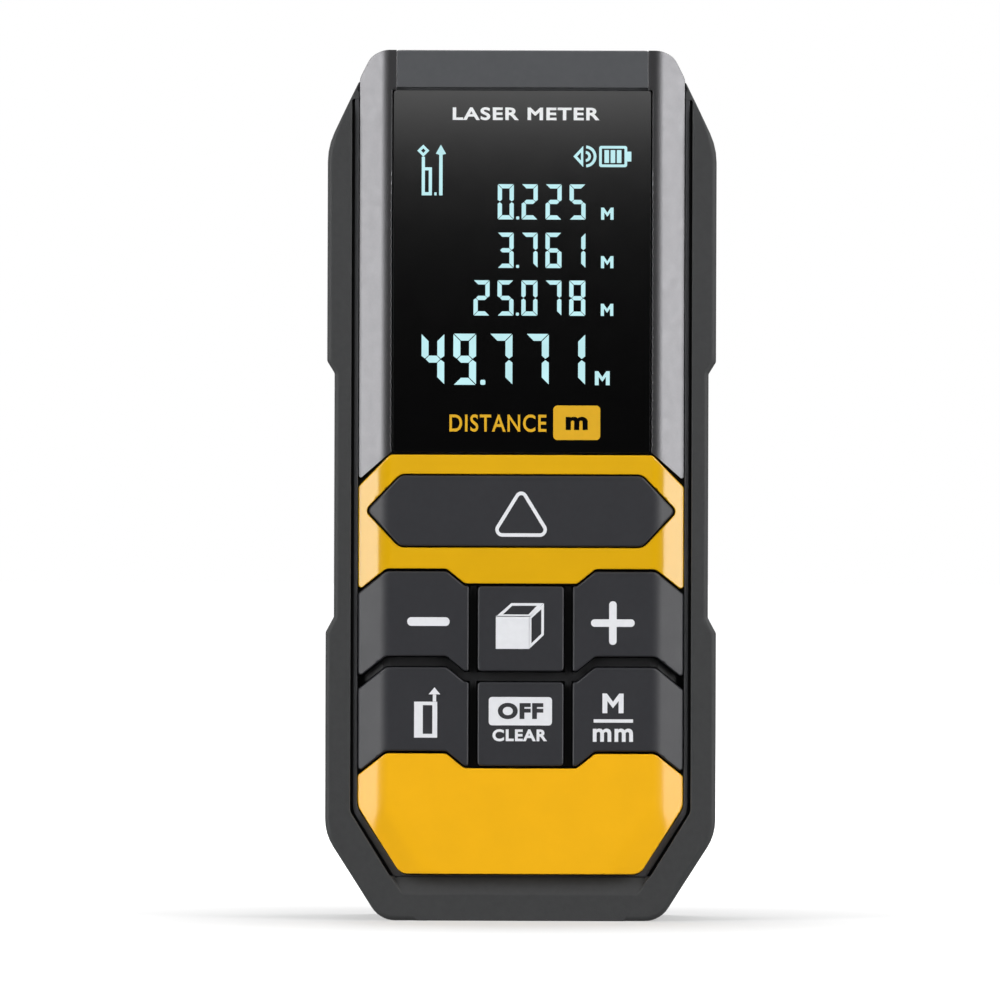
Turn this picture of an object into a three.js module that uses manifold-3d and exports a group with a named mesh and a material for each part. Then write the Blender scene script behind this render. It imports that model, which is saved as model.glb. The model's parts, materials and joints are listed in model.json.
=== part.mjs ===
// Laser distance meter: a hand-held instrument that stands on its rubber foot.
// Millimetres. +Z runs from the foot to the laser end, -Y is the display side and +X is the
// viewer's right. The origin is the centre of the foot's underside.
import * as THREE from "three";
import { mergeVertices } from "three/addons/utils/BufferGeometryUtils.js";
import Module from "manifold-3d";

const wasm = await Module();
wasm.setup();

// ---------------------------------------------------------------- driving dimensions
const HEIGHT = 115;
const DEPTH = 27;
const FRONT = -DEPTH / 2; // face of the keys
const BACK = DEPTH / 2;
const KEY_RISE = 0.3; // the keys stand this far proud of the covers
const COVER_FACE = FRONT + KEY_RISE;
const COVER_BACK = COVER_FACE + 3.9;
const WINDOW_FACE = COVER_FACE + 0.2;

const FACE_HALF = 21.5; // half width of the bezel, covers and keys
const BEVEL_SLOPE = 0.621; // depth per millimetre of the sloping sides of the face
const BEVEL_START = 18.2;
const FLAT_HALF = 17.2;
const BEVEL_EASE = 0.25; // depth at BEVEL_START, where the flat face turns into the slope
const BEVEL_BASE = COVER_FACE + BEVEL_EASE + (FACE_HALF - BEVEL_START) * BEVEL_SLOPE;

const FIT = 0.3; // gap between pieces that touch
const SEAM = 0.35; // visible seam between a key and its cover
const WALL = 1.7;
const ROUND_STEPS = 3; // straight pieces in each rounded corner

const CASE_FRONT = -10.2; // front edge of the front housing's rim
const DECK_FACE = -9.0;
const DECK_BACK = -7.4;
const SPLIT_FRONT = -1.3; // the two housings meet either side of the seal
const SPLIT_BACK = -0.3;
const CASE_TOP = 114.6;
const BULKHEAD_BOTTOM = 107.5;
const BULKHEAD_TOP = 109.8;
const CAP_HALF = 16.6;
const CAP_BOTTOM = 110.1;
const CAP_WALL = 1.8;

const BUMPER_FACE = -12.2;
const BUMPER_CHAMFER = 0.9;
const GROOVE_HALF = 22.5; // inner edge of the bumper's front rim
const GROOVE_TOP = 108.6;
const LIP_TOP = 5.9; // top of the bumper's lip under the lower cover

const KEY_TRAVEL = 0.5;
const KEY_STOP_GAP = 0.15; // left behind a key, and over its dome, when it is fully pressed
const KEY_BACK = DECK_FACE - KEY_TRAVEL - KEY_STOP_GAP;
const BOARD_FACE = -5.6;
const BOARD_BACK = -4.0;
const DOME_HEIGHT = 0.5;
const PLUNGER_END = BOARD_FACE - DOME_HEIGHT - KEY_TRAVEL - KEY_STOP_GAP;
const PLUNGER_RADIUS = 2;

const WINDOW_HALF = 17.0;
const WINDOW_BOTTOM = 61.9;
const WINDOW_TOP = 109.7;
const PANEL_HALF = 15.8;
const PANEL_BOTTOM = 64;
const PANEL_TOP = 106.2;

const RECEIVER = { x: -5.5, y: 4.2, radius: 6.5 };
const LASER = { x: 8.2, y: 4.2, radius: 3.5 };

const BATTERY_RADIUS = 5.25;
const BATTERY_LENGTH = 44.5;
const BATTERY_X = 5.6;
const BATTERY_Y = 6.2;
const BAY = { half: 11.5, bottom: 10.2, top: 60.8, floor: 0.8 };
const BAY_WALL = 1.2;
const DOOR = { half: 12.2, bottom: 9.2, top: 61.8, inner: 12.3, ledge: 11.6, radius: 1.6 };
const HOOK = { x: 7.5, half: 1.6 };

const SCREW_X = 16.2;
const SCREW_ROWS = [22, 100.5];
const BOARD_SCREW = { x: 17.6, z: 60 };

// ---------------------------------------------------------------- outlines, as [x, z, radius]
// Each list climbs the right-hand side; mirrored() closes it down the left.
const SILHOUETTE = [
  [18.5, 0, 3.7],
  [25.8, 11.4, 6.8],
  [25.8, 38.1, 0.6],
  [24.72, 40.1, 0.6],
  [24.72, 72.3, 0.6],
  [25.7, 73.9, 0.6],
  [25.7, 102.3, 9],
  [19.75, HEIGHT, 5.2],
];
const CASE_SIDE = [
  [14.5, 3, 2],
  [22.3, 15.06, 4],
  [22.3, 108.4, 3],
  [19.39, CASE_TOP, 4.6],
];
const FACE_SIDE = [
  [15.6, 6.2, 1.8],
  [FACE_HALF, 15.3, 2.4],
  [FACE_HALF, 111.2, 2],
  [19.75, HEIGHT, 5.2],
];
// The stepped line between the keys and the covers, on the right-hand side, at height z.
const wave = (z) => [
  [7.4, z - 1.95, 0.8],
  [9.8, z, 0.8],
  [17.8, z, 1.2],
  [FACE_HALF, z - 2.95],
];
const ROW_EDGES = {
  coverBottom: 46.5,
  top1: 46.15,
  bottom1: 34.95,
  top2: 33.5,
  bottom2: 22.45,
  coverTop: 22.1,
};
const CENTRE_DROP = 1.95; // how much lower the step runs across the centre keys
const SIDE_KEY_INNER = 6.87;
const CENTRE_KEY_HALF = 5.68;
const MEASURE_KEY = [
  [16.1, 49.5, 1.4],
  [20.35, 54.15, 0.7],
  [15.9, 58.8, 1.4],
];
const KEY_PLUNGERS = {
  measure_key: [0, 54.2],
  minus_key: [-12.3, 39.5],
  function_key: [0, 38.6],
  plus_key: [12.3, 39.5],
  reference_key: [-12.3, 27],
  clear_key: [0, 26],
  units_key: [12.3, 27],
};

// ---------------------------------------------------------------- materials
const finish = (color, roughness, metalness = 0) =>
  new THREE.MeshStandardMaterial({ color, roughness, metalness });
const MATERIAL = {
  casing: finish(0x3a3b3e, 0.6),
  bezel: finish(0x55565a, 0.32),
  rubber: finish(0x3b3b3d, 0.85),
  key: finish(0x36373b, 0.7),
  yellow: finish(0xf0b010, 0.35),
  window: finish(0x050506, 0.08),
  lens: finish(0xbfd8e6, 0.03),
  board: finish(0x14532d, 0.5),
  metal: finish(0xb8bac0, 0.3, 1),
  brass: finish(0xb08d4a, 0.35, 1),
  black: finish(0x101012, 0.5),
  diffuser: finish(0xf2f4f5, 0.5),
  flex: finish(0xb06a1c, 0.5),
  wrap: finish(0x2a2c30, 0.4),
  label: finish(0xc9cacc, 0.5),
};

// ---------------------------------------------------------------- outline and solid helpers
const mirrored = (side) => [...side, ...side.toReversed().map(([x, z, r]) => [-x, z, r])];
const flipped = (outline) => outline.toReversed().map(([x, z, r]) => [-x, z, r]);
const span = (middle, half) => [middle - half, middle + half];
const rectangle = (half, bottom, top, radius = 0) => mirrored([
  [half, bottom, radius],
  [half, top, radius],
]);

// Moves every edge of an anticlockwise outline outwards by d.
function grow(outline, d) {
  return outline.map(([x, z, radius], i) => {
    const [px, pz] = outline.at(i - 1);
    const [nx, nz] = outline[(i + 1) % outline.length];
    const a = new THREE.Vector2(z - pz, px - x).normalize();
    const b = new THREE.Vector2(nz - z, x - nx).normalize();
    const k = d / (1 + a.dot(b));
    return [x + (a.x + b.x) * k, z + (a.y + b.y) * k, radius && Math.max(radius + d, 0.2)];
  });
}

// A closed shape through the outline, each corner eased by its radius.
function shapeOf(outline) {
  const shape = new THREE.Shape();
  outline.forEach(([x, z, radius = 0], i) => {
    const corner = new THREE.Vector2(x, z);
    const before = new THREE.Vector2(...outline.at(i - 1)).sub(corner);
    const after = new THREE.Vector2(...outline[(i + 1) % outline.length]).sub(corner);
    const turn = Math.PI - Math.abs(before.angleTo(after));
    const reach = Math.min(radius * Math.tan(turn / 2), before.length() * 0.45, after.length() * 0.45);
    const start = before.setLength(reach).add(corner);
    const end = after.setLength(reach).add(corner);
    if (i === 0) shape.moveTo(start.x, start.y);
    else shape.lineTo(start.x, start.y);
    if (reach > 0.01) shape.quadraticCurveTo(corner.x, corner.y, end.x, end.y);
  });
  return shape;
}

function solidOf(geometry) {
  const bare = geometry.index ? geometry.toNonIndexed() : geometry.clone();
  bare.deleteAttribute("normal");
  bare.deleteAttribute("uv");
  const merged = mergeVertices(bare, 1e-4);
  return new wasm.Manifold(new wasm.Mesh({
    numProp: 3,
    vertProperties: merged.attributes.position.array,
    triVerts: new Uint32Array(merged.index.array),
  }));
}

function geometryOf(solid) {
  const { vertProperties, triVerts } = solid.getMesh();
  return new THREE.BufferGeometry()
    .setAttribute("position", new THREE.BufferAttribute(vertProperties, 3))
    .setIndex(new THREE.BufferAttribute(triVerts, 1))
    .toNonIndexed();
}

const cut = (solid, ...tools) => tools.reduce((left, tool) => left.subtract(tool), solid);
const join = (solid, ...others) => others.reduce((whole, other) => whole.add(other), solid);

// An outline in the XZ plane given thickness from y = front to y = back.
function plate(outline, front, back) {
  const options = { depth: back - front, bevelEnabled: false, curveSegments: ROUND_STEPS };
  const geometry = new THREE.ExtrudeGeometry(shapeOf(outline), options);
  return solidOf(geometry.rotateX(Math.PI / 2).translate(0, back, 0));
}

function block([x0, x1], [y0, y1], [z0, z1]) {
  const geometry = new THREE.BoxGeometry(x1 - x0, y1 - y0, z1 - z0);
  return solidOf(geometry.translate((x0 + x1) / 2, (y0 + y1) / 2, (z0 + z1) / 2));
}

// A round bar along Y or along Z.
function barY([x, z], radius, [y0, y1], sides = 16) {
  return solidOf(new THREE.CylinderGeometry(radius, radius, y1 - y0, sides).translate(x, (y0 + y1) / 2, z));
}
function barZ([x, y], radius, [z0, z1], sides = 24, topRadius = radius) {
  const geometry = new THREE.CylinderGeometry(topRadius, radius, z1 - z0, sides).rotateX(Math.PI / 2);
  return solidOf(geometry.translate(x, y, (z0 + z1) / 2));
}

// Everything on the far side of the plane through point, in the direction of normal.
function beyond(point, normal) {
  const SIZE = 300;
  const turn = new THREE.Quaternion().setFromUnitVectors(
    new THREE.Vector3(0, 0, 1),
    new THREE.Vector3(...normal).normalize(),
  );
  const geometry = new THREE.BoxGeometry(SIZE, SIZE, SIZE).translate(0, 0, SIZE / 2);
  return solidOf(geometry.applyQuaternion(turn).translate(...point));
}
const bothSides = (makeTool) => [1, -1].map(makeTool);

// A profile of [radius, height] points turned about an axis: its height runs along -Y, or along +Z.
function turned(profile, sides) {
  return new THREE.LatheGeometry(profile.map(([r, h]) => new THREE.Vector2(r, h)), sides);
}
const turnedY = (profile, sides) => turned(profile, sides).rotateX(Math.PI);
const turnedZ = (profile, sides) => turned(profile, sides).rotateX(Math.PI / 2);

// ---------------------------------------------------------------- the shared front surface
// The space behind the face: flat in the middle, sloping away at both sides.
function behindFace(rise = 0) {
  const EDGE = FACE_HALF + 1.5;
  const edgeY = BEVEL_BASE + (EDGE - FACE_HALF) * BEVEL_SLOPE;
  const section = new THREE.Shape([
    new THREE.Vector2(-EDGE, edgeY - rise),
    new THREE.Vector2(-BEVEL_START, COVER_FACE + BEVEL_EASE - rise),
    new THREE.Vector2(-FLAT_HALF, COVER_FACE - rise),
    new THREE.Vector2(FLAT_HALF, COVER_FACE - rise),
    new THREE.Vector2(BEVEL_START, COVER_FACE + BEVEL_EASE - rise),
    new THREE.Vector2(EDGE, edgeY - rise),
    new THREE.Vector2(EDGE, BACK),
    new THREE.Vector2(-EDGE, BACK),
  ]);
  const geometry = new THREE.ExtrudeGeometry(section, { depth: HEIGHT + 2, bevelEnabled: false });
  return solidOf(geometry.translate(0, 0, -1));
}

// The outward direction of the sloping corner between (x0, z0) and (x1, z1) on side s.
function cornerNormal([x0, z0], [x1, z1], s, slope, facing) {
  const run = Math.hypot(x1 - x0, z1 - z0);
  return [(s * slope * (z1 - z0)) / run, facing, (-slope * (x1 - x0)) / run];
}

// ---------------------------------------------------------------- case
function makeFrontHousing() {
  const outer = plate(mirrored(CASE_SIDE), CASE_FRONT, SPLIT_FRONT);
  const coverPocket = plate(grow(mirrored(FACE_SIDE), 0.25), CASE_FRONT - 1, DECK_FACE);
  const inside = plate(mirrored(insideCase()), DECK_BACK, SPLIT_FRONT + 1);
  const capRoom = makeCapRoom();
  const displayOpening = block([-16.2, 16.2], [-12, DECK_BACK + 1], [62.6, 106.6]);
  const throughDeck = [-12, DECK_BACK + 1];
  const plungerHoles = Object.values(KEY_PLUNGERS).map((at) => barY(at, PLUNGER_RADIUS + 0.5, throughDeck));
  const caseBosses = casePoints().map((at) => barY(at, 2.4, [DECK_BACK - 0.5, SPLIT_FRONT]));
  const caseHoles = casePoints().map((at) => barY(at, 1.3, [-4.4, 0]));
  const boardBosses = boardPoints().map((at) => barY(at, 2.2, [DECK_BACK - 0.5, BOARD_FACE - 0.1]));
  const boardHoles = boardPoints().map((at) => barY(at, 1.1, [-8.2, 0]));
  const shell = cut(outer, coverPocket, inside, capRoom, displayOpening, ...plungerHoles, ...opticsHoles());
  return cut(join(shell, ...caseBosses, ...boardBosses), ...caseHoles, ...boardHoles);
}

const makeCapRoom = () => block(span(0, CAP_HALF + FIT), [-20, 20], [BULKHEAD_TOP, 120]);

function insideCase() {
  const [bottom, knee] = grow(mirrored(CASE_SIDE), -WALL);
  return [bottom, knee, [knee[0], BULKHEAD_BOTTOM, 1]];
}

const casePoints = () => SCREW_ROWS.flatMap((z) => [[SCREW_X, z], [-SCREW_X, z]]);
const boardPoints = () => bothSides((s) => [s * BOARD_SCREW.x, BOARD_SCREW.z]);

// Where the receiver and the laser look out through the case.
function opticsHoles() {
  const heights = [BULKHEAD_BOTTOM - 1, HEIGHT + 1];
  return [RECEIVER, LASER].map(({ x, y, radius }) => barZ([x, y], radius + FIT, heights));
}

function makeRearHousing() {
  const BEVEL = 2.6;
  const outer = plate(mirrored(CASE_SIDE), SPLIT_BACK, BACK);
  const [bottom, knee] = CASE_SIDE;
  const kneeOn = (s) => [s * knee[0], BACK - BEVEL, knee[1]];
  const backBevels = [
    ...bothSides((s) => beyond(kneeOn(s), [s * BEVEL_SLOPE, 1, 0])),
    ...bothSides((s) => beyond(kneeOn(s), cornerNormal(bottom, knee, s, BEVEL_SLOPE, 1))),
    beyond([0, BACK - 1.2, bottom[1]], [0, 1, -1]),
  ];
  const inside = plate(mirrored(insideCase()), SPLIT_BACK - 1, BACK - WALL);
  const capRoom = makeCapRoom();
  const bayBox = block(
    [-BAY.half - BAY_WALL, BAY.half + BAY_WALL],
    [SPLIT_BACK, BACK - WALL + 0.5],
    [BAY.bottom - BAY_WALL - 0.3, BAY.top + BAY_WALL + 0.3],
  );
  const bay = block([-BAY.half, BAY.half], [BAY.floor, 20], [BAY.bottom, BAY.top]);
  const doorRecess = plate(grow(doorOutline(), FIT), DOOR.ledge, 20);
  const hookPockets = bothSides((s) => block(
    span(s * HOOK.x, HOOK.half + 0.6),
    [10.5, DOOR.inner + 0.1],
    [7.3, BAY.bottom + 0.5],
  ));
  const fingerScoop = solidOf(new THREE.SphereGeometry(9, 20, 12).translate(0, BACK + 8, DOOR.top + 3.2));
  const labelRecess = plate(rectangle(13.4, 70, 92, 1), BACK - 0.4, 20);
  const screwTubes = casePoints().map((at) => barY(at, 3, [SPLIT_BACK, BACK - WALL + 0.5]));
  const screwHoles = casePoints().flatMap((at) => [barY(at, 1.3, [-5, 20]), barY(at, 2.1, [10.2, 20])]);
  const shell = join(cut(outer, ...backBevels, inside, capRoom), bayBox, ...screwTubes);
  return cut(shell, bay, doorRecess, ...hookPockets, fingerScoop, labelRecess, ...screwHoles, ...opticsHoles());
}

// A rubber cord in the seam between the housings, open at the laser end.
function makeHousingSeal() {
  const seam = mirrored(CASE_SIDE);
  const ring = cut(plate(grow(seam, -0.5), -1.2, -0.4), plate(grow(seam, -1.3), -2, 0));
  return cut(ring, block([-30, 30], [-5, 5], [BULKHEAD_BOTTOM - 2, 120]));
}

function makeBumper() {
  const outer = plate(mirrored(SILHOUETTE), BUMPER_FACE, -BUMPER_FACE);
  const caseRoom = plate(grow(mirrored(CASE_SIDE), FIT), CASE_FRONT - FIT, 20);
  const faceRoom = plate(mirrored([
    [15.6, LIP_TOP, 1.5],
    [GROOVE_HALF, 16.6, 3],
    [GROOVE_HALF, GROOVE_TOP, 0.6],
  ]), -20, CASE_FRONT);
  const cornerRoom = plate(mirrored([
    [15.0, 4.2, 0],
    [GROOVE_HALF, 14.4, 3],
    [GROOVE_HALF, 60, 0],
  ]), -20, CASE_FRONT);
  const lip = block([-15.9, 15.9], [-20, CASE_FRONT], [0, LIP_TOP]);
  const topRoom = plate(grow(mirrored(FACE_SIDE), 0.2), -20, CASE_FRONT);
  const aboveLip = block([-30, 30], [-20, CASE_FRONT + 0.1], [60, 120]);
  const tips = [
    block([-30, 30], [-20, 20], [111.3, 120]),
    block([-30, 30], [CASE_FRONT - FIT, 20], [BULKHEAD_BOTTOM, 120]),
  ];
  const [foot, knee] = SILHOUETTE;
  const edges = [-1, 1].flatMap((facing) => {
    const y = facing * -BUMPER_FACE;
    const cornerEdge = (s) => beyond([s * foot[0], y, BUMPER_CHAMFER], cornerNormal(foot, knee, s, 1, facing));
    const sideEdge = (s) => beyond([s * (knee[0] - BUMPER_CHAMFER), y, knee[1]], [s, facing, 0]);
    const footEdge = beyond([0, y, BUMPER_CHAMFER], [0, facing, -1]);
    return [...bothSides(cornerEdge), ...bothSides(sideEdge), footEdge];
  });
  return cut(outer, caseRoom, faceRoom, cut(cornerRoom, lip), topRoom.intersect(aboveLip), ...tips, ...edges);
}

// ---------------------------------------------------------------- front pieces
function makeBezel() {
  const outline = mirrored([
    [17.4, 61.85, 0],
    [FACE_HALF - 0.05, 58.05, 0],
    [FACE_HALF - 0.05, 111.2, 2],
    [19.75, HEIGHT, 5.2],
  ]);
  const frame = plate(outline, COVER_FACE, COVER_BACK).intersect(behindFace());
  const recessTop = WINDOW_TOP + 0.2;
  const recess = [WINDOW_BOTTOM - 1, recessTop];
  const windowRecess = block(span(0, WINDOW_HALF + FIT), [-20, WINDOW_FACE + 1.2], recess);
  const panelOpening = block([-16.2, 16.2], [-20, 0], [62.9, 106.6]);
  const capRoom = block(span(0, CAP_HALF + 0.15), [-20, 20], [recessTop, 120]);
  return cut(frame, windowRecess, panelOpening, capRoom);
}

function makeWindow() {
  return plate(rectangle(WINDOW_HALF, WINDOW_BOTTOM, WINDOW_TOP, 0.6), WINDOW_FACE, WINDOW_FACE + 1);
}

function makeUpperCover() {
  const side = [
    ...wave(ROW_EDGES.coverBottom),
    [FACE_HALF, 57.35, 0.5],
    [17.3, 61.55, 0.8],
  ];
  const keyHole = plate(grow(mirrored(MEASURE_KEY), SEAM), -20, 20);
  return cut(plate(mirrored(side), COVER_FACE, COVER_BACK).intersect(behindFace()), keyHole);
}

function makeLowerCover() {
  const [foot, knee] = FACE_SIDE;
  const side = [foot, knee, ...wave(ROW_EDGES.coverTop).toReversed()];
  const kneeOn = (s) => [s * FACE_HALF, BEVEL_BASE, knee[1]];
  const corners = bothSides((s) => beyond(kneeOn(s), cornerNormal(foot, knee, s, BEVEL_SLOPE, -1)));
  return cut(plate(mirrored(side), COVER_FACE, COVER_BACK).intersect(behindFace()), ...corners);
}

// The cap over the laser end: a front bar, a top with two openings and a back bar.
function makeTopCap() {
  const CAP_BACK = BACK - 0.3;
  const outer = block(span(0, CAP_HALF), [COVER_FACE, CAP_BACK], [CAP_BOTTOM, HEIGHT]);
  const under = block(
    span(0, CAP_HALF + 1),
    [COVER_FACE + CAP_WALL, CAP_BACK - CAP_WALL],
    [CAP_BOTTOM - 1, HEIGHT - CAP_WALL],
  );
  const edges = [
    beyond([0, COVER_FACE, HEIGHT - 0.5], [0, -1, 1]),
    beyond([0, CAP_BACK, HEIGHT - 1.2], [0, 1, 1]),
  ];
  return cut(outer, under, ...edges, ...opticsHoles());
}

// ---------------------------------------------------------------- keys
// A key's cap, and the plunger that passes through the deck to its dome.
function makeKey(outline, plungerAt) {
  const cap = plate(outline, FRONT, KEY_BACK).intersect(behindFace(KEY_RISE));
  return join(cap, barY(plungerAt, PLUNGER_RADIUS, [KEY_BACK - 0.5, PLUNGER_END]));
}

function sideKeyOutline(top, bottom) {
  return [
    [SIDE_KEY_INNER, bottom - CENTRE_DROP, 0.4],
    ...wave(bottom),
    ...wave(top).toReversed(),
    [SIDE_KEY_INNER, top - CENTRE_DROP, 0.4],
  ];
}

function keyOutlines() {
  const { top1, bottom1, top2, bottom2 } = ROW_EDGES;
  const centre = (top, bottom) => rectangle(CENTRE_KEY_HALF, bottom - CENTRE_DROP, top - CENTRE_DROP, 0.5);
  return {
    measure_key: mirrored(MEASURE_KEY),
    minus_key: flipped(sideKeyOutline(top1, bottom1)),
    function_key: centre(top1, bottom1),
    plus_key: sideKeyOutline(top1, bottom1),
    reference_key: flipped(sideKeyOutline(top2, bottom2)),
    clear_key: centre(top2, bottom2),
    units_key: sideKeyOutline(top2, bottom2),
  };
}

// The ribs between the six small keys.
function makeKeyFrame() {
  const SINK = 0.9; // depth of the ribs below the covers
  const CLEAR = 0.15;
  const depths = [COVER_FACE + SINK, DECK_FACE - 0.2];
  const lower = wave(ROW_EDGES.top2 + CLEAR);
  const upper = wave(ROW_EDGES.bottom1 - CLEAR).toReversed();
  const band = plate([...lower, ...upper, ...flipped(upper), ...flipped(lower)], ...depths);
  const postX = (SIDE_KEY_INNER + CENTRE_KEY_HALF) / 2;
  const postHalf = (SIDE_KEY_INNER - CENTRE_KEY_HALF) / 2 - CLEAR;
  const heights = [ROW_EDGES.bottom2, ROW_EDGES.top1].map((z) => z - CENTRE_DROP);
  const posts = bothSides((s) => block(span(s * postX, postHalf), depths, heights));
  return join(band.intersect(behindFace(-SINK)), ...posts);
}

// ---------------------------------------------------------------- display and boards
const makePanel = () => block([-PANEL_HALF, PANEL_HALF], [-11.6, -9.8], [PANEL_BOTTOM, PANEL_TOP]);
const makeBacklight = () => block([-PANEL_HALF, PANEL_HALF], [-9.6, -8.1], [PANEL_BOTTOM + 0.2, PANEL_TOP]);

// The ribbon from the panel's lower edge, past the deck, to the main board.
function makeDisplayFlex() {
  const HALF = 8;
  const THICK = 0.2;
  const line = [[-9.5, 63.8], [-9.5, 63.2], [-6.7, 63.0], [-6.0, 58.4]];
  const back = line.toReversed().map(([y, z]) => [y + THICK, z + (z > 63.1 ? 0 : THICK)]);
  const shape = new THREE.Shape([...line, ...back].map(([y, z]) => new THREE.Vector2(y, z)));
  const geometry = new THREE.ExtrudeGeometry(shape, { depth: 2 * HALF, bevelEnabled: false });
  const turn = new THREE.Matrix4().set(0, 0, 1, -HALF, 1, 0, 0, 0, 0, 1, 0, 0, 0, 0, 0, 1);
  return solidOf(geometry.applyMatrix4(turn));
}

function makeMainBoard() {
  const outline = mirrored([
    [12.9, 8.5, 1],
    [12.9, 24.4, 0],
    [19.8, 28, 1],
    [19.8, 97, 1],
  ]);
  const holes = boardPoints().map((at) => barY(at, 1.1, [-10, 0]));
  return cut(plate(outline, BOARD_FACE, BOARD_BACK), ...holes);
}

function makeOpticsBlock() {
  const body = block([-12.9, 12.9], [-3.2, 11.3], [84, 107.2]);
  const collar = barZ([RECEIVER.x, RECEIVER.y], 6.5, [107, 110.2]);
  const cone = barZ([RECEIVER.x, RECEIVER.y], 3, [83, 110.5], 24, 5.8);
  const laserBore = barZ([LASER.x, LASER.y], LASER.radius + FIT, [83, 108]);
  return cut(join(body, collar), cone, laserBore);
}

// The laser's barrel, bored out at both ends for the diode and the collimating lens.
function makeLaserModule() {
  const barrel = barZ([LASER.x, LASER.y], LASER.radius, [86.4, 110.6]);
  return cut(barrel, barZ([LASER.x, LASER.y], 2.2, [108.6, 111]), barZ([LASER.x, LASER.y], 3, [86, 90.4]));
}

function makeLaserDiode() {
  const flange = barZ([LASER.x, LASER.y], 2.8, [86.6, 87.6]);
  const can = barZ([LASER.x, LASER.y], 2.1, [87.5, 89.9]);
  const leads = [-1.2, 0, 1.2].map((dx) => barZ([LASER.x + dx, LASER.y], 0.25, [82.95, 86.7], 6));
  return join(flange, can, ...leads);
}

// ---------------------------------------------------------------- batteries
function batteryGeometry() {
  const NUB_RADIUS = 1.9;
  const SHOULDER = BATTERY_LENGTH - 1;
  return turnedZ([
    [0, 0],
    [3.4, 0],
    [BATTERY_RADIUS, 0.8],
    [BATTERY_RADIUS, SHOULDER - 0.8],
    [BATTERY_RADIUS - 0.5, SHOULDER],
    [NUB_RADIUS, SHOULDER],
    [NUB_RADIUS, BATTERY_LENGTH],
    [0, BATTERY_LENGTH],
  ], 24);
}

class SpringCurve extends THREE.Curve {
  constructor(length, turns, radius) {
    super();
    Object.assign(this, { length, turns, radius });
  }
  getPoint(t, target = new THREE.Vector3()) {
    const angle = t * this.turns * 2 * Math.PI;
    const radius = this.radius * (1 - 0.35 * t);
    return target.set(radius * Math.cos(angle), radius * Math.sin(angle), t * this.length);
  }
}

function springGeometry(length) {
  const WIRE = 0.35;
  const SIDES = 6;
  const corners = Array.from({ length: SIDES }, (_, i) => (i / SIDES) * 2 * Math.PI);
  const section = new THREE.Shape(corners.map((a) => new THREE.Vector2(WIRE * Math.cos(a), WIRE * Math.sin(a))));
  const curve = new SpringCurve(length - 2 * WIRE, 3.5, 3.6);
  const options = { steps: 48, bevelEnabled: false, extrudePath: curve };
  return new THREE.ExtrudeGeometry(section, options).translate(0, 0, WIRE);
}

// ---------------------------------------------------------------- door
function doorOutline() {
  return rectangle(DOOR.half, DOOR.bottom, DOOR.top, DOOR.radius);
}

function makeDoor() {
  const TONGUE_HALF = 4.5;
  const TONGUE_BOTTOM = 52;
  const SLIT = 0.6;
  const panel = plate(doorOutline(), DOOR.inner, BACK);
  const hooks = bothSides((s) => join(
    block(span(s * HOOK.x, HOOK.half), [11.2, DOOR.inner], [8, 9.8]),
    block(span(s * HOOK.x, HOOK.half), [11.2, DOOR.inner + 0.4], [DOOR.bottom, 9.8]),
  ));
  const slitX = TONGUE_HALF + SLIT / 2;
  const slits = bothSides((s) => block(span(s * slitX, SLIT / 2), [10, 20], [TONGUE_BOTTOM, DOOR.top + 1]));
  const grooves = [0, 1, 2, 3].map((i) => block([-3.4, 3.4], [BACK - 0.4, 20], span(55.4 + 1.6 * i, 0.35)));
  return cut(join(panel, ...hooks), ...slits, ...grooves);
}

function makeDoorSeal() {
  const outer = rectangle(DOOR.half - 0.1, 10.3, DOOR.top - 0.3, 1.2);
  return cut(plate(outer, DOOR.ledge + 0.1, DOOR.inner - 0.1), plate(grow(outer, -0.7), 0, 20));
}

// ---------------------------------------------------------------- fasteners
// A pan-head screw, head towards +Y, its seat at the origin.
function screwGeometry(headRadius, headHeight, shaftRadius, length) {
  return turnedY([
    [0, -headHeight],
    [headRadius * 0.6, -headHeight],
    [headRadius, -headHeight * 0.6],
    [headRadius, 0],
    [shaftRadius, 0],
    [shaftRadius, length - 1],
    [shaftRadius * 0.4, length],
    [0, length],
  ], 12);
}

// A snap dome, its rim on the board at the origin.
function domeGeometry() {
  return turnedY([
    [0, 0],
    [2.9, 0],
    [2.6, 0.2],
    [1.5, DOME_HEIGHT - 0.05],
    [0, DOME_HEIGHT],
  ], 12);
}

// ---------------------------------------------------------------- assembly
const meter = new THREE.Group();

function add(name, shape, material, parent = meter, place = [0, 0, 0]) {
  const mesh = new THREE.Mesh(shape.isBufferGeometry ? shape : geometryOf(shape), material);
  mesh.name = name;
  mesh.position.set(...place);
  parent.add(mesh);
  return mesh;
}

add("front_housing", makeFrontHousing(), MATERIAL.casing);
add("rear_housing", makeRearHousing(), MATERIAL.casing);
add("housing_seal", makeHousingSeal(), MATERIAL.black);
add("bumper", makeBumper(), MATERIAL.rubber);
add("display_bezel", makeBezel(), MATERIAL.bezel);
add("display_window", makeWindow(), MATERIAL.window);
add("upper_cover", makeUpperCover(), MATERIAL.yellow);
add("lower_cover", makeLowerCover(), MATERIAL.yellow);
add("top_cap", makeTopCap(), MATERIAL.casing);
add("rear_label", plate(rectangle(13.1, 70.3, 91.7, 0.8), BACK - 0.3, BACK - 0.1), MATERIAL.label);

const keypad = new THREE.Group();
meter.add(keypad);
add("key_frame", makeKeyFrame(), MATERIAL.casing, keypad);
for (const [name, outline] of Object.entries(keyOutlines())) {
  const [x, z] = KEY_PLUNGERS[name];
  add(name, makeKey(outline, [x, z]), MATERIAL.key, keypad);
  add(name.replace("key", "dome"), domeGeometry(), MATERIAL.metal, keypad, [x, BOARD_FACE - 0.02, z]);
}

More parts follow.
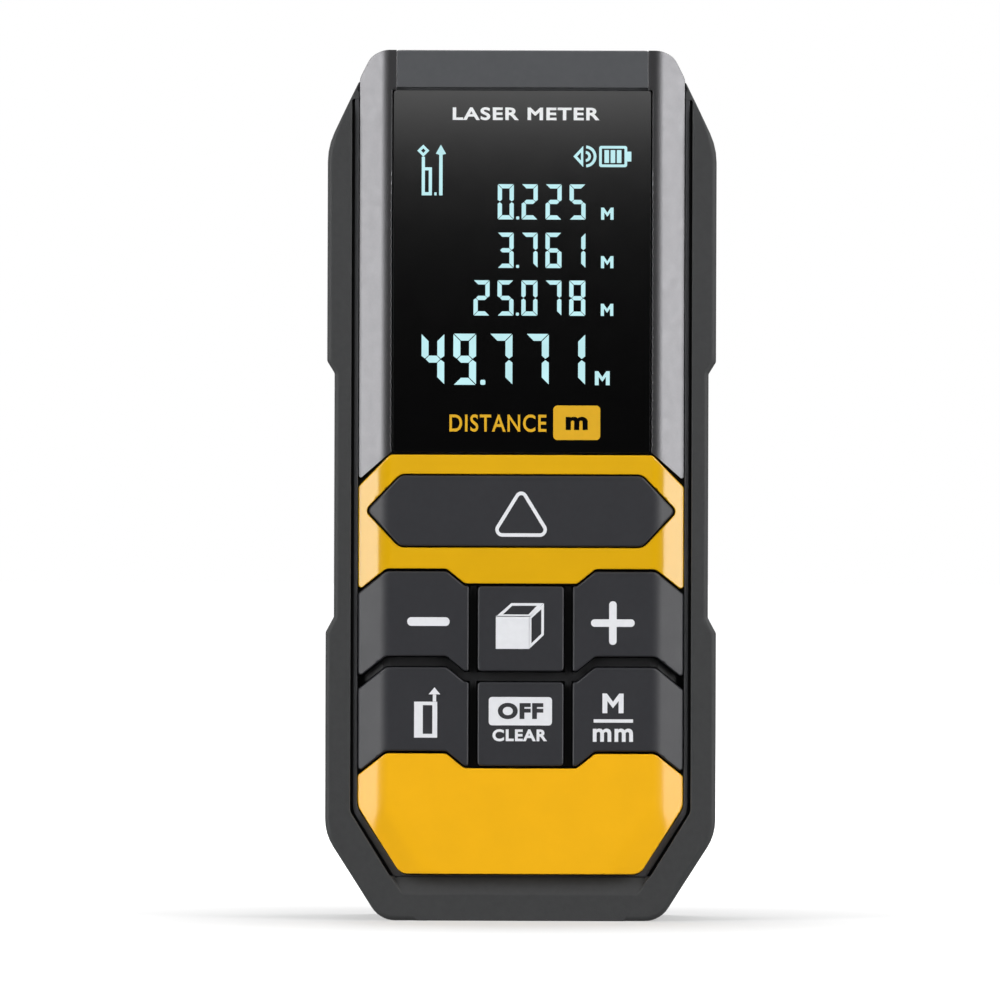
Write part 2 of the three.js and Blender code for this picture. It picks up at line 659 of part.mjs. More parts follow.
const electronics = new THREE.Group();
meter.add(electronics);
add("display_panel", makePanel(), MATERIAL.black, electronics);
add("display_backlight", makeBacklight(), MATERIAL.diffuser, electronics);
add("display_flex", makeDisplayFlex(), MATERIAL.flex, electronics);
add("main_board", makeMainBoard(), MATERIAL.board, electronics);
const behindBoard = (thickness) => [BOARD_BACK + 0.1, BOARD_BACK + 0.1 + thickness];
add("processor_chip", block([-12.5, -3.5], behindBoard(1.2), [67, 76]), MATERIAL.black, electronics);
add("buzzer", barY([11, 70], 5.5, behindBoard(3), 24), MATERIAL.black, electronics);
add("sensor_board", block([-12, 12], [-3, 11], [81.6, 82.8]), MATERIAL.board, electronics);

const optics = new THREE.Group();
meter.add(optics);
const lensGeometry = turnedZ([[0, 0], [6.4, 0], [6.4, 1.2], [5, 2.1], [3, 2.8], [0, 3.1]], 32);
add("optics_block", makeOpticsBlock(), MATERIAL.black, optics);
add("receiver_lens", lensGeometry, MATERIAL.lens, optics, [RECEIVER.x, RECEIVER.y, 110.4]);
add("receiver_sensor", barZ([RECEIVER.x, RECEIVER.y], 2.3, [83.1, 86], 16), MATERIAL.metal, optics);
add("laser_module", makeLaserModule(), MATERIAL.brass, optics);
add("laser_diode", makeLaserDiode(), MATERIAL.metal, optics);
add("laser_window", barZ([LASER.x, LASER.y], 3.4, [113.2, 114]), MATERIAL.lens, optics);

// The two cells lie head to tail, each between a spring and a plate.
const power = new THREE.Group();
meter.add(power);
const SPRING_LENGTH = 4.6;
const BAY_LENGTH = BAY.top - BAY.bottom;
const contactPlate = () => block(span(0, 4.2), span(0, 4.2), span(0, 0.2));
for (const [side, s] of [["left", -1], ["right", 1]]) {
  const cell = new THREE.Group();
  cell.position.set(s * BATTERY_X, BATTERY_Y, s < 0 ? BAY.bottom : BAY.top);
  cell.rotation.x = s < 0 ? 0 : Math.PI;
  power.add(cell);
  add(`battery_spring_${side}`, springGeometry(SPRING_LENGTH), MATERIAL.metal, cell, [0, 0, FIT]);
  add(`battery_${side}`, batteryGeometry(), MATERIAL.wrap, cell, [0, 0, SPRING_LENGTH + 2 * FIT]);
  add(`contact_plate_${side}`, contactPlate(), MATERIAL.metal, cell, [0, 0, BAY_LENGTH - 0.6]);
}

add("battery_door", makeDoor(), MATERIAL.casing);
add("battery_door_seal", makeDoorSeal(), MATERIAL.black);

casePoints().forEach(([x, z], i) => {
  const place = ["lower_right", "lower_left", "upper_right", "upper_left"][i];
  add(`case_screw_${place}`, screwGeometry(1.8, 1.3, 1, 14), MATERIAL.metal, meter, [x, 10.4, z]);
});
boardPoints().forEach(([x, z], i) => {
  const side = ["right", "left"][i];
  const place = [x, BOARD_BACK + 0.1, z];
  add(`board_screw_${side}`, screwGeometry(1.5, 0.9, 0.8, 3.8), MATERIAL.metal, meter, place);
});

export default meter;
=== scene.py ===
"""The laser distance meter's looks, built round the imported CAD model.

Lengths are in millimetres until a mesh is made. Most pieces are slabs: a rounded outline drawn
in the plane of the front, the back or the top, with a height at every point of it. In such a
plane u runs to the right, v runs up, and h is the height towards the viewer of that side.
The floor, the lamps and the camera are placed in metres.
"""

import json
import math
from collections import Counter

import bpy
import numpy as np
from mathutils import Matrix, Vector
from mathutils.geometry import delaunay_2d_cdt


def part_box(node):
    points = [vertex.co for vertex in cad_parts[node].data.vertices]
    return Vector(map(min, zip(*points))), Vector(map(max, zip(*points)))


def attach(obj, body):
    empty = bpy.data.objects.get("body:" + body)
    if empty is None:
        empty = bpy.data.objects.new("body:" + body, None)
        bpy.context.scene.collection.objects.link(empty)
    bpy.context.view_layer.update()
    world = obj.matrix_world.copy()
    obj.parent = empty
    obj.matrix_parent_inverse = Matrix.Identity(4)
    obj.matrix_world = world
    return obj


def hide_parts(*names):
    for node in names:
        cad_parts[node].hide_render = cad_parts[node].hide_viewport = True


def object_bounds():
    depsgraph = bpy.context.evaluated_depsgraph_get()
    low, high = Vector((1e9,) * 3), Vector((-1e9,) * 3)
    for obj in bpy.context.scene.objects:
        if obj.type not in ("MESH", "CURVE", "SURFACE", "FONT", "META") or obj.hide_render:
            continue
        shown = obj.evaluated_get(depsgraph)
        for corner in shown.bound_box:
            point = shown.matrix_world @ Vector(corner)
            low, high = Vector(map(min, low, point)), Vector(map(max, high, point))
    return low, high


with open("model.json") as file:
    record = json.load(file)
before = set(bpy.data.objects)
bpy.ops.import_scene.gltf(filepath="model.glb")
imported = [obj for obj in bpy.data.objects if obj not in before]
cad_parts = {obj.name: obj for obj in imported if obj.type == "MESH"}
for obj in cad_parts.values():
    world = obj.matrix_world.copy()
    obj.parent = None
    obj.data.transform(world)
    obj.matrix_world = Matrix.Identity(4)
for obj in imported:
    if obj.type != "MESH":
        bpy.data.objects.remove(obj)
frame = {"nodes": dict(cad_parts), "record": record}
cad_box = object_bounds()

MM = 0.001
FRONT = np.array([[1, 0, 0], [0, 0, 1], [0, -1, 0]], float)
BACK = np.array([[-1, 0, 0], [0, 0, 1], [0, 1, 0]], float)
TOP = np.array([[1, 0, 0], [0, 1, 0], [0, 0, 1]], float)


def add_object(name, data):
    thing = bpy.data.objects.new(name, data)
    bpy.context.scene.collection.objects.link(thing)
    return thing


def box_mm(node):
    """Lowest and highest corner of a CAD node, in millimetres."""
    low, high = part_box(node)
    return np.array(low) / MM, np.array(high) / MM


# ---- sizes taken from the frame
upper_low, upper_high = box_mm("upper_cover")
lower_low, lower_high = box_mm("lower_cover")
bezel_low = box_mm("display_bezel")[0]
window_low, window_high = box_mm("display_window")
cap_low, cap_high = box_mm("top_cap")
bumper_low, bumper_high = box_mm("bumper")
rear_high = box_mm("rear_housing")[1]

INK = 0.02  # thickness of printed shapes
DISPLAY_INK = 0.01  # thickness of the shapes on the display
INK_ROOT = 0.05  # how far printed shapes reach into the piece under them
CLEARANCE = 0.02  # left between pieces that would touch

HEIGHT = cap_high[2]
FACE_HALF = upper_high[0]  # half the face's width
COVER_FACE = -upper_low[1]
COVER_BACK = -upper_high[1]
KEY_FACE = -box_mm("measure_key")[0][1] - INK  # the legends' ink ends level with the CAD keys
WINDOW_FACE = -window_low[1]
BUMPER_FACE = -bumper_low[1]

# The face is flat in the middle and slopes away at both sides.
SLOPE_START = 17.1
SLOPE_EASE = 1.6  # width of the turn into the slope, on the bezel and the keys
COVER_EASE = 2.1  # the covers turn more softly
SLOPE = 0.5

# The stepped line between the keys and the covers.
STEP_INNER = 1.95
STEP_OUTER = 2.95

# Meshing.
SPACING = 0.6  # between points along an outline
TURN_STEP = math.radians(9)  # between points round a corner
SHARPEST = 0.02  # smallest radius of a corner
CORNER_SHARE = 0.48  # share of a side that the rounding of one corner may take
SHARP_EDGE = 0.01  # edges with a smaller radius are left sharp
EDGE_ROWS = (0.06, 0.2, 0.42, 0.7, 1.0)  # rows of points across a rounded edge, in edge radii
ROW_SLACK = 0.02  # how much nearer to another edge the points of these rows may lie
EDGE_MARGIN = 0.12  # kept free between the rounded edge and the points inside it
SAME_PLACE = 1e-6  # points closer than this are joined
NO_AREA = 1e-6  # triangles smaller than this are left out of words
STRAY_AREA = 1e-3  # triangles that rounding leaves outside a straight edge are smaller than this
TINY = 1e-12  # avoids division by zero


# ---- outlines
def mirrored(side):
    """A closed outline from its right-hand side, given from the bottom up as (u, v, radius)."""
    return list(side) + [(-u, v, r) for u, v, r in reversed(side)]


def flipped(outline):
    """The same outline on the other side of the middle line."""
    return [(-u, v, r) for u, v, r in reversed(outline)]


def reversed_loop(outline):
    """The same outline run clockwise, which makes it a hole."""
    return list(reversed(outline))


def rectangle(u0, u1, v0, v1, radius):
    return [(u0, v0, radius), (u1, v0, radius), (u1, v1, radius), (u0, v1, radius)]


def polygon(points, radius=SHARPEST):
    return [(u, v, radius) for u, v in points]


def circle(u, v, radius):
    return rectangle(u - radius, u + radius, v - radius, v + radius, radius)


def wave(v):
    """The right-hand half of the stepped line, from the middle outwards."""
    return [(7.4, v - STEP_INNER, 0.9), (9.8, v, 0.9), (17.8, v, 1.3), (FACE_HALF, v - STEP_OUTER, 0.4)]


def rounded_loop(outline, spacing):
    """Closely spaced points along an outline with rounded corners, and the outward direction at each."""
    points, normals = [], []
    corners = [np.array(c[:2], float) for c in outline]
    for i, (_, _, radius) in enumerate(outline):
        incoming = corners[i] - corners[i - 1]
        outgoing = corners[(i + 1) % len(corners)] - corners[i]
        run_in, run_out = np.linalg.norm(incoming), np.linalg.norm(outgoing)
        incoming, outgoing = incoming / run_in, outgoing / run_out
        cross = incoming[0] * outgoing[1] - incoming[1] * outgoing[0]
        turn = math.atan2(cross, incoming @ outgoing)
        half = math.tan(abs(turn) / 2)
        reach = min(max(radius, SHARPEST) * half, CORNER_SHARE * run_in, CORNER_SHARE * run_out)
        radius = reach / max(half, TINY)
        outward = np.array((incoming[1], -incoming[0]))
        side = math.copysign(1, turn)
        centre = corners[i] - incoming * reach - outward * radius * side
        steps = max(2, math.ceil(abs(turn) / TURN_STEP))
        for k in range(steps + 1):
            a = turn * k / steps
            spin = np.array(((math.cos(a), -math.sin(a)), (math.sin(a), math.cos(a))))
            direction = spin @ outward
            points.append(centre + direction * radius * side)
            normals.append(direction)
    dense, directions = [], []
    for i, point in enumerate(points):
        following = points[(i + 1) % len(points)]
        dense.append(point)
        directions.append(normals[i])
        gap = following - point
        length = np.linalg.norm(gap)
        if length > spacing * 1.5:
            count = math.ceil(length / spacing)
            straight = np.array((gap[1], -gap[0])) / length
            for k in range(1, count):
                dense.append(point + gap * k / count)
                directions.append(straight)
    return np.array(dense), np.array(directions)


# ---- slabs
def turns(points, start, end):
    """How many times the outlines go round each point, anticlockwise."""
    u, v = points[:, :1], points[:, 1:]
    (u0, v0), (u1, v1) = start.T, end.T
    left = (u1 - u0) * (v - v0) - (u - u0) * (v1 - v0)
    up = (v0 <= v) & (v1 > v) & (left > 0)
    down = (v0 > v) & (v1 <= v) & (left < 0)
    return up.sum(1) - down.sum(1)


class Region:
    """The area inside an outline and outside its holes, with distances to its edge."""

    def __init__(self, loops, spacing):
        self.rings = [rounded_loop(loop, spacing) for loop in loops]
        self.start = np.vstack([p for p, _ in self.rings])
        self.end = np.vstack([np.roll(p, -1, 0) for p, _ in self.rings])
        self.normals = np.vstack([n for _, n in self.rings])

    def contains(self, points):
        return turns(points, self.start, self.end) != 0

    def edge(self, points):
        """Distance to the edge, and the outward direction and place of the nearest edge point."""
        along = self.end - self.start
        length = np.maximum((along**2).sum(1), TINY)
        share = ((points[:, None] - self.start) * along).sum(2) / length
        share = np.clip(share, 0, 1)
        nearest = self.start + share[..., None] * along
        distance = np.linalg.norm(points[:, None] - nearest, axis=2)
        best = distance.argmin(1)
        rows = np.arange(len(points))
        return distance[rows, best], self.normals[best], nearest[rows, best]


def areas(points, triangles):
    """The area of each triangle, negative where its corners run clockwise."""
    a, b, c = (points[triangles[:, k]] for k in range(3))
    return 0.5 * ((b[:, 0] - a[:, 0]) * (c[:, 1] - a[:, 1]) - (c[:, 0] - a[:, 0]) * (b[:, 1] - a[:, 1]))


def sides(triangles):
    """The three directed sides of each triangle."""
    return triangles[:, ((0, 1), (1, 2), (2, 0))]


def closed_sides(loops):
    """Point numbers of each side of the loops, whose points lie one after another in a list."""
    pairs, first = [], 0
    for loop in loops:
        pairs += [(first + i, first + (i + 1) % len(loop)) for i in range(len(loop))]
        first += len(loop)
    return pairs


def triangulated(points, edges):
    """Joined points, triangles that keep the edges, and the given points that each point stands for."""
    flat, _, triangles, origins, _, _ = delaunay_2d_cdt([Vector(p) for p in points], edges, [], 0, SAME_PLACE)
    flat = np.array([tuple(p) for p in flat])
    return flat, np.array([t for t in triangles if len(t) == 3]), origins


def without_strays(points, triangles, outline):
    """Drops the zero-width triangles that lie outside a straight stretch of the outline."""
    outline = {frozenset(side) for side in outline}
    thin = np.abs(areas(points, triangles)) < STRAY_AREA
    while True:
        three = [[frozenset(side) for side in triangle] for triangle in sides(triangles).tolist()]
        uses = Counter(side for triangle in three for side in triangle)
        bare = {side for side, count in uses.items() if count == 1 and side not in outline}
        stray = thin & [not bare.isdisjoint(triangle) for triangle in three]
        if not stray.any():
            return triangles
        triangles, thin = triangles[~stray], thin[~stray]


class Mesh:
    """Vertices, their normals and faces, gathered in (u, v, h) and placed by a plane."""

    def __init__(self, plane=FRONT):
        self.plane = plane
        self.points, self.normals, self.faces = [], [], []

    def add(self, points, normals):
        first = sum(len(p) for p in self.points)
        self.points.append(np.asarray(points, float))
        self.normals.append(np.asarray(normals, float))
        return np.arange(first, first + len(points))

    def end(self, region, height, radius, facing, samples):
        """Covers the region with the height's surface, its edge rounded, and returns the edge's points."""
        def edge_radius(places):
            value = radius(places[:, 0], places[:, 1]) if callable(radius) else radius
            return np.broadcast_to(np.maximum(value, TINY), len(places))

        boundary = region.start
        inset_points = [boundary]
        own_radius = edge_radius(boundary)
        if own_radius.max() > SHARP_EDGE:
            for share in EDGE_ROWS:
                inset = own_radius * share
                moved = boundary - region.normals * inset[:, None]
                gap = region.edge(moved)[0]
                inset_points.append(moved[region.contains(moved) & (gap > inset - ROW_SLACK)])
        samples = np.array(samples, float).reshape(-1, 2)
        if len(samples):
            gap, _, place = region.edge(samples)
            inner = region.contains(samples) & (gap > edge_radius(place) + EDGE_MARGIN)
            inset_points.append(samples[inner])
        points = np.vstack(inset_points)

        edges = closed_sides([ring for ring, _ in region.rings])
        flat, triangles, origins = triangulated(points, edges)
        triangles = triangles[region.contains(flat[triangles].mean(1))]
        place_of = {int(o[0]): i for i, o in enumerate(origins) if o}
        outline = [(place_of[a], place_of[b]) for a, b in edges]
        triangles = without_strays(flat, triangles, outline)

        gap, outward, place = region.edge(flat)
        own_radius = edge_radius(place)
        lean = np.where(own_radius > SHARP_EDGE, np.clip(1 - gap / own_radius, 0, 1), 0)
        rise = np.sqrt(1 - lean**2)
        u, v = flat[:, 0], flat[:, 1]
        step = 0.02  # over which the height's slope is measured
        slope_u = (height(u + step, v) - height(u - step, v)) / (2 * step)
        slope_v = (height(u, v + step) - height(u, v - step)) / (2 * step)
        face_normal = np.column_stack((-slope_u, -slope_v, np.ones(len(u))))
        face_normal /= np.linalg.norm(face_normal, axis=1)[:, None]
        side_normal = np.column_stack((outward, np.zeros(len(u))))
        normals = side_normal * lean[:, None] + face_normal * rise[:, None]
        depth = height(u, v) - own_radius * (1 - rise)
        if facing < 0:
            normals[:, 2] *= -1
            triangles = triangles[:, ::-1]
        index = self.add(np.column_stack((u, v, depth * facing)), normals)
        self.faces += [tuple(index[t]) for t in triangles]
        outer = index[[place_of[i] for i in range(len(boundary))]]
        return np.split(outer, np.cumsum([len(ring) for ring, _ in region.rings])[:-1])

    def slab(self, loops, top, bottom, top_radius=0.0, bottom_radius=0.0, samples=(), spacing=SPACING):
        """A solid over the region inside the loops, between two heights or functions of u and v.

        Samples are extra points that the top and the bottom go through.
        """
        region = Region(loops, spacing)
        top_height = top if callable(top) else level(top)
        bottom_height = bottom if callable(bottom) else level(bottom)
        tops = self.end(region, top_height, top_radius, 1, samples)
        bottoms = self.end(region, lambda u, v: -bottom_height(u, v), bottom_radius, -1, samples)
        gathered = np.vstack(self.points)
        for upper, lower, (_, outward) in zip(tops, bottoms, region.rings):
            sideways = np.column_stack((outward, np.zeros(len(outward))))
            lower = self.add(gathered[lower], sideways)
            upper = self.add(gathered[upper], sideways)
            self.faces += zip(lower, np.roll(lower, -1), np.roll(upper, -1), upper)
        return self

    def build(self, name, material, body, replaces=(), slot=None):
        """Makes the visible piece, which rides on a body and may replace CAD nodes."""
        points = np.vstack(self.points) @ self.plane * MM
        normals = np.vstack(self.normals) @ self.plane
        normals /= np.linalg.norm(normals, axis=1)[:, None]
        mesh = bpy.data.meshes.new(name)
        mesh.from_pydata(points.tolist(), [], self.faces)
        mesh.polygons.foreach_set("use_smooth", [True] * len(mesh.polygons))
        mesh.normals_split_custom_set_from_vertices(normals.tolist())
        mesh.materials.append(MATERIALS[material])
        piece = add_object(name, mesh)
        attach(piece, body)
        if replaces:
            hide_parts(*replaces)


def level(value):
    """A height that is the same everywhere."""
    return lambda u, v: np.full(np.shape(u), float(value))


def line(start, end, spacing):
    """Evenly spaced points from start to end."""
    start, end = np.array(start, float), np.array(end, float)
    count = max(2, math.ceil(np.linalg.norm(end - start) / spacing))
    return [start + (end - start) * k / count for k in range(count + 1)]


def both_sides(points):
    """The points, and the same points on the other side of the middle line."""
    return list(points) + [np.array((-p[0], p[1])) for p in points]


# ---- materials
def coordinates(tree, kind):
    return tree.nodes.new("ShaderNodeTexCoord").outputs[kind]


def noise(tree, size, detail=3.0):
    """A noise over the piece, its blotches about as wide as size."""
    texture = tree.nodes.new("ShaderNodeTexNoise")
    texture.inputs["Scale"].default_value = 1 / (size * MM)
    texture.inputs["Detail"].default_value = detail
    tree.links.new(coordinates(tree, "Object"), texture.inputs["Vector"])
    return texture.outputs["Fac"]


def two_tone(tree, factor, positions, colors):
    """A colour that goes from the first to the second as the factor goes from position to position."""
    ramp = tree.nodes.new("ShaderNodeValToRGB")
    for element, position, color in zip(ramp.color_ramp.elements, positions, colors):
        element.position = position
        element.color = [*color, 1]
    tree.links.new(factor, ramp.inputs["Fac"])
    return ramp.outputs["Color"]


def mapped(tree, value, from_range, to_range):
    """The value carried from one range to another."""
    node = tree.nodes.new("ShaderNodeMapRange")
    for name, limit in zip(("From Min", "From Max", "To Min", "To Max"), (*from_range, *to_range)):
        node.inputs[name].default_value = limit
    tree.links.new(value, node.inputs["Value"])
    return node.outputs["Result"]


def surface(name, color, roughness, metallic=0.0, speckle=0.06, speckle_size=0.8, grain=0.0,
            grain_size=0.15, ripple=0.0, ripple_size=3.0, coat=0.0, coat_roughness=0.05,
            specular=0.5, sheen=0.0, roughness_spread=0.05):
    """A moulded or painted surface: its colour and gloss vary a little, over fine grain and slow ripples.

    Grain and ripple are depths in millimetres, and speckle is the share by which the colour varies.
    """
    material = bpy.data.materials.new(name)
    material.use_nodes = True
    tree = material.node_tree
    shader = tree.nodes["Principled BSDF"]
    for socket, value in (("Metallic", metallic), ("Specular IOR Level", specular), ("Coat Weight", coat),
                          ("Coat Roughness", coat_roughness), ("Sheen Weight", sheen)):
        shader.inputs[socket].default_value = value

    darker = [c * (1 - speckle) for c in color]
    lighter = [min(1, c * (1 + speckle)) for c in color]
    tint = two_tone(tree, noise(tree, speckle_size), (0.3, 0.7), (darker, lighter))
    tree.links.new(tint, shader.inputs["Base Color"])

    gloss_range = (max(0.02, roughness - roughness_spread), roughness + roughness_spread)
    gloss = mapped(tree, noise(tree, speckle_size * 4), (0, 1), gloss_range)
    tree.links.new(gloss, shader.inputs["Roughness"])

    normal = None
    for depth, size in ((grain, grain_size), (ripple, ripple_size)):
        if not depth:
            continue
        bump = tree.nodes.new("ShaderNodeBump")
        bump.inputs["Strength"].default_value = 1.0
        bump.inputs["Distance"].default_value = depth * MM
        tree.links.new(noise(tree, size), bump.inputs["Height"])
        if normal:
            tree.links.new(normal, bump.inputs["Normal"])
        normal = bump.outputs["Normal"]
    if normal:
        tree.links.new(normal, shader.inputs["Normal"])
    return material


def glowing(name, color, strength):
    """A lit display segment: bright, with a faint unevenness of its backlight."""
    material = surface(name, [c * 0.1 for c in color], 0.4, speckle=0.05, speckle_size=6)
    tree = material.node_tree
    shader = tree.nodes["Principled BSDF"]
    dimmer = [c * 0.88 for c in color]
    light = two_tone(tree, noise(tree, 7, detail=2.0), (0.35, 0.65), (dimmer, color))
    tree.links.new(light, shader.inputs["Emission Color"])
    shader.inputs["Emission Strength"].default_value = strength
    return material


MATERIALS = {
    "casing": surface("case_plastic", (0.050, 0.051, 0.055), 0.5, grain=0.012, grain_size=0.25),
    "cap": surface("cap_plastic", (0.080, 0.083, 0.089), 0.42, grain=0.004, grain_size=0.25, speckle=0.04),
    "bezel": surface(
        "bezel_paint", (0.112, 0.111, 0.1155), 0.38, metallic=0.9, speckle=0.03, speckle_size=0.3,
        ripple=0.005, ripple_size=3.5),
    "bumper": surface(
        "bumper_rubber", (0.038, 0.039, 0.040), 0.62, grain=0.02, grain_size=0.22, sheen=0.08, specular=0.4),
    "key": surface("key_rubber", (0.025, 0.0255, 0.030), 0.5, grain=0.004, grain_size=0.18, speckle=0.05),
    # darker than the casing: painted shade where the key frame shows in the gaps between the keys
    "key_frame": surface("key_frame_painted_shade", (0.012, 0.012, 0.013), 0.55, grain=0.01, specular=0.3),
    "yellow": surface(
        "yellow_plastic", (0.945, 0.48, 0.004), 0.36, speckle=0.02, speckle_size=5, ripple=0.008,
        ripple_size=2.5, coat=0.25, coat_roughness=0.18, specular=0.4),
    # a darker copy of the same yellow plastic for the upper cover: painted shade, standing for the weaker
    # light that reaches it
    "yellow_painted_shade": surface(
        "yellow_plastic_painted_shade", (0.76, 0.415, 0.001), 0.36, speckle=0.02, speckle_size=5, ripple=0.008,
        ripple_size=2.5, coat=0.9, coat_roughness=0.18, specular=0.1),
    "window": surface("display_glass", (0.0004, 0.0004, 0.0005), 0.085, speckle=0.2, roughness_spread=0.01),
    "lens": surface("coated_lens", (0.012, 0.022, 0.035), 0.05, roughness_spread=0.01, coat=0.6),
    "laser_glass": surface("laser_glass", (0.10, 0.006, 0.008), 0.12, roughness_spread=0.01, specular=0.3),
    "seal": surface("seal_rubber", (0.012, 0.012, 0.012), 0.7, grain=0.01),
    "label": surface("label_film", (0.42, 0.43, 0.44), 0.4, speckle=0.03, grain=0.002),
    "black_plastic": surface("black_plastic", (0.007, 0.007, 0.008), 0.5, grain=0.01, specular=0.3),
    "diffuser": surface("diffuser_film", (0.8, 0.82, 0.83), 0.5, speckle=0.02),
    "flex": surface("flex_film", (0.42, 0.15, 0.02), 0.35, speckle=0.05),
    "board": surface("solder_mask", (0.01, 0.085, 0.03), 0.35, speckle=0.1, grain=0.004),
    "steel": surface("dome_steel", (0.5, 0.5, 0.52), 0.3, metallic=1.0, grain=0.002),
    "spring": surface("spring_nickel", (0.42, 0.42, 0.41), 0.42, metallic=1.0, grain=0.002),
    "contact": surface("contact_nickel", (0.55, 0.55, 0.54), 0.3, metallic=1.0, grain=0.002),
    "screw": surface("screw_zinc", (0.22, 0.22, 0.23), 0.35, metallic=1.0, grain=0.003),
    "brass": surface("turned_brass", (0.55, 0.38, 0.14), 0.3, metallic=1.0, grain=0.002),
    "cell_wrap": surface("cell_wrap", (0.03, 0.035, 0.045), 0.3, speckle=0.05, coat=0.3),
    "legend": surface("legend_ink", (0.80, 0.81, 0.84), 0.5, speckle=0.02),
    "badge_ink": surface("badge_ink", (0.030, 0.030, 0.034), 0.5, speckle=0.03),
    "print_white": surface("print_white", (0.82, 0.83, 0.84), 0.3, speckle=0.02),
    "print_yellow": surface("print_yellow", (0.74, 0.41, 0.015), 0.3, speckle=0.02),
    "digits": glowing("lit_segment", (0.53, 0.86, 0.90), 0.95),
}
for entry in frame["record"]["subparts"]:
    node = frame["nodes"][entry["node"]]
    node.data.materials.clear()
    # the key frame is darker than the other pieces of its slot: painted shade for the shadow in the gaps
    # between the keys
    slot = "key_frame" if entry["node"] == "key_frame" else entry["material_slot"]
    node.data.materials.append(MATERIALS[slot])


# ---- the front's shared surface
def eased_ramp(distance, ease, slope=SLOPE):
    """Zero before 0, a straight slope after the ease, and a smooth turn between them."""
    t = np.maximum(distance, 0)
    turning = slope * t**2 / (2 * ease)
    straight = slope * (t - ease / 2)
    return np.where(t < ease, turning, straight)


def front_surface(top, ease=SLOPE_EASE):
    return lambda u, v: top - eased_ramp(np.abs(u) - SLOPE_START, ease)


def outside_slant(u, v, foot, knee):
    """Distance outside the slanting line from foot to knee, on either side of the middle line."""
    run_u, run_v = knee[0] - foot[0], knee[1] - foot[1]
    return ((np.abs(u) - knee[0]) * run_v - (v - knee[1]) * run_u) / math.hypot(run_u, run_v)


def slant_samples(foot, knee, insets, before, length, spacing):
    """Rows of points along the slanting line; before and length are shares of its own length."""
    along = np.array(knee) - np.array(foot)
    inward = np.array((-along[1], along[0])) / np.linalg.norm(along)
    rows = []
    for inset in insets:
        start = np.array(foot) - before * along + inward * inset
        rows += line(start, start + length * along, spacing)
    return rows


def slope_samples(v0, v1):
    """Points that follow the turn into the slope, and fill the slope and the flat."""
    rows = []
    for u in np.linspace(SLOPE_START - 0.1, SLOPE_START + COVER_EASE + 0.1, 12):
        rows += line((u, v0), (u, v1), 1.2)
    for u in (3, 9, 15, 20.8):
        rows += line((u, v0), (u, v1), 2.5)
    return both_sides(rows)


# ---- display bezel, window and cap
BEZEL_INNER = 17.2  # half the width between the bezel's two sides


def make_bezel():
    beside_cap = cap_high[0] + CLEARANCE
    above_window = window_high[2] + CLEARANCE
    outline = [
        (BEZEL_INNER, bezel_low[2] + 3.85, 0.15), (FACE_HALF, bezel_low[2] + 0.1, 0.3),
        (FACE_HALF, 111.3, 2.0), (20.0, 114.2, 2.6), (18.3, HEIGHT, 3.0),
        (beside_cap, HEIGHT, 0.05), (beside_cap, above_window, SHARPEST),
        (BEZEL_INNER, above_window, SHARPEST),
    ]
    mesh = Mesh()
    for loop in (outline, flipped(outline)):
        mesh.slab([loop], front_surface(COVER_FACE), COVER_BACK, 0.06, samples=slope_samples(57, 115))
    mesh.build("bezel", "bezel", "case", ["display_bezel"], "bezel")


def make_window():
    half = window_high[0]
    outline = rectangle(-half, half, window_low[2], window_high[2], 0.4)
    mesh = Mesh().slab([outline], WINDOW_FACE, -window_high[1], 0.05, samples=line((0, 65), (0, 106), 5))
    mesh.build("display_glass", "window", "case", ["display_window"], "window")


OPTICS = {"receiver_lens": (2.6, "lens"), "laser_window": (0.0, "laser_glass")}  # crown and material
OPENING_MARGIN = 0.35  # between an optic and the cap's opening round it


def optic_circle(node):
    """Centre and radius of an optic in the top face."""
    low, high = box_mm(node)
    return (low[0] + high[0]) / 2, (low[1] + high[1]) / 2, (high[0] - low[0]) / 2


def make_cap():
    half = cap_high[0]
    outline = rectangle(-half, half, cap_low[1], cap_high[1], 0.1)
    openings = []
    for node in OPTICS:
        u, v, radius = optic_circle(node)
        openings.append(reversed_loop(circle(u, v, radius + OPENING_MARGIN)))
    mesh = Mesh(TOP).slab([outline, *openings], cap_high[2], cap_low[2], 0.3)
    # a thinner tongue reaches down to the window and sideways into the bezel
    tongue = rectangle(-half - 0.25, half + 0.25, cap_low[1] + 0.8, cap_high[1] - 0.8, 0.1)
    mesh.slab([tongue, *openings], cap_low[2] + 0.1, window_high[2] + CLEARANCE / 2)
    mesh.build("laser_end_cap", "cap", "case", ["top_cap"], "cap")


def make_optics():
    for node, (crown, glass) in OPTICS.items():
        low, high = box_mm(node)
        centre_u, centre_v, radius = optic_circle(node)

        def dome(u, v):
            away = np.hypot(u - centre_u, v - centre_v) / radius
            return high[2] - crown * away**2

        samples = [(centre_u + radius * r * math.cos(a), centre_v + radius * r * math.sin(a))
                   for r in (0.001, 0.2, 0.4, 0.6, 0.8, 0.92)
                   for a in np.linspace(0, 2 * math.pi, 24, endpoint=False)]
        outline = circle(centre_u, centre_v, radius)
        mesh = Mesh(TOP).slab([outline], dome, low[2], 0.15, samples=samples)
        mesh.build(f"{node}_glass", glass, "case", [node], "lens")


# ---- covers
MEASURE_GAP = 0.2  # between the measure key and the cover round it


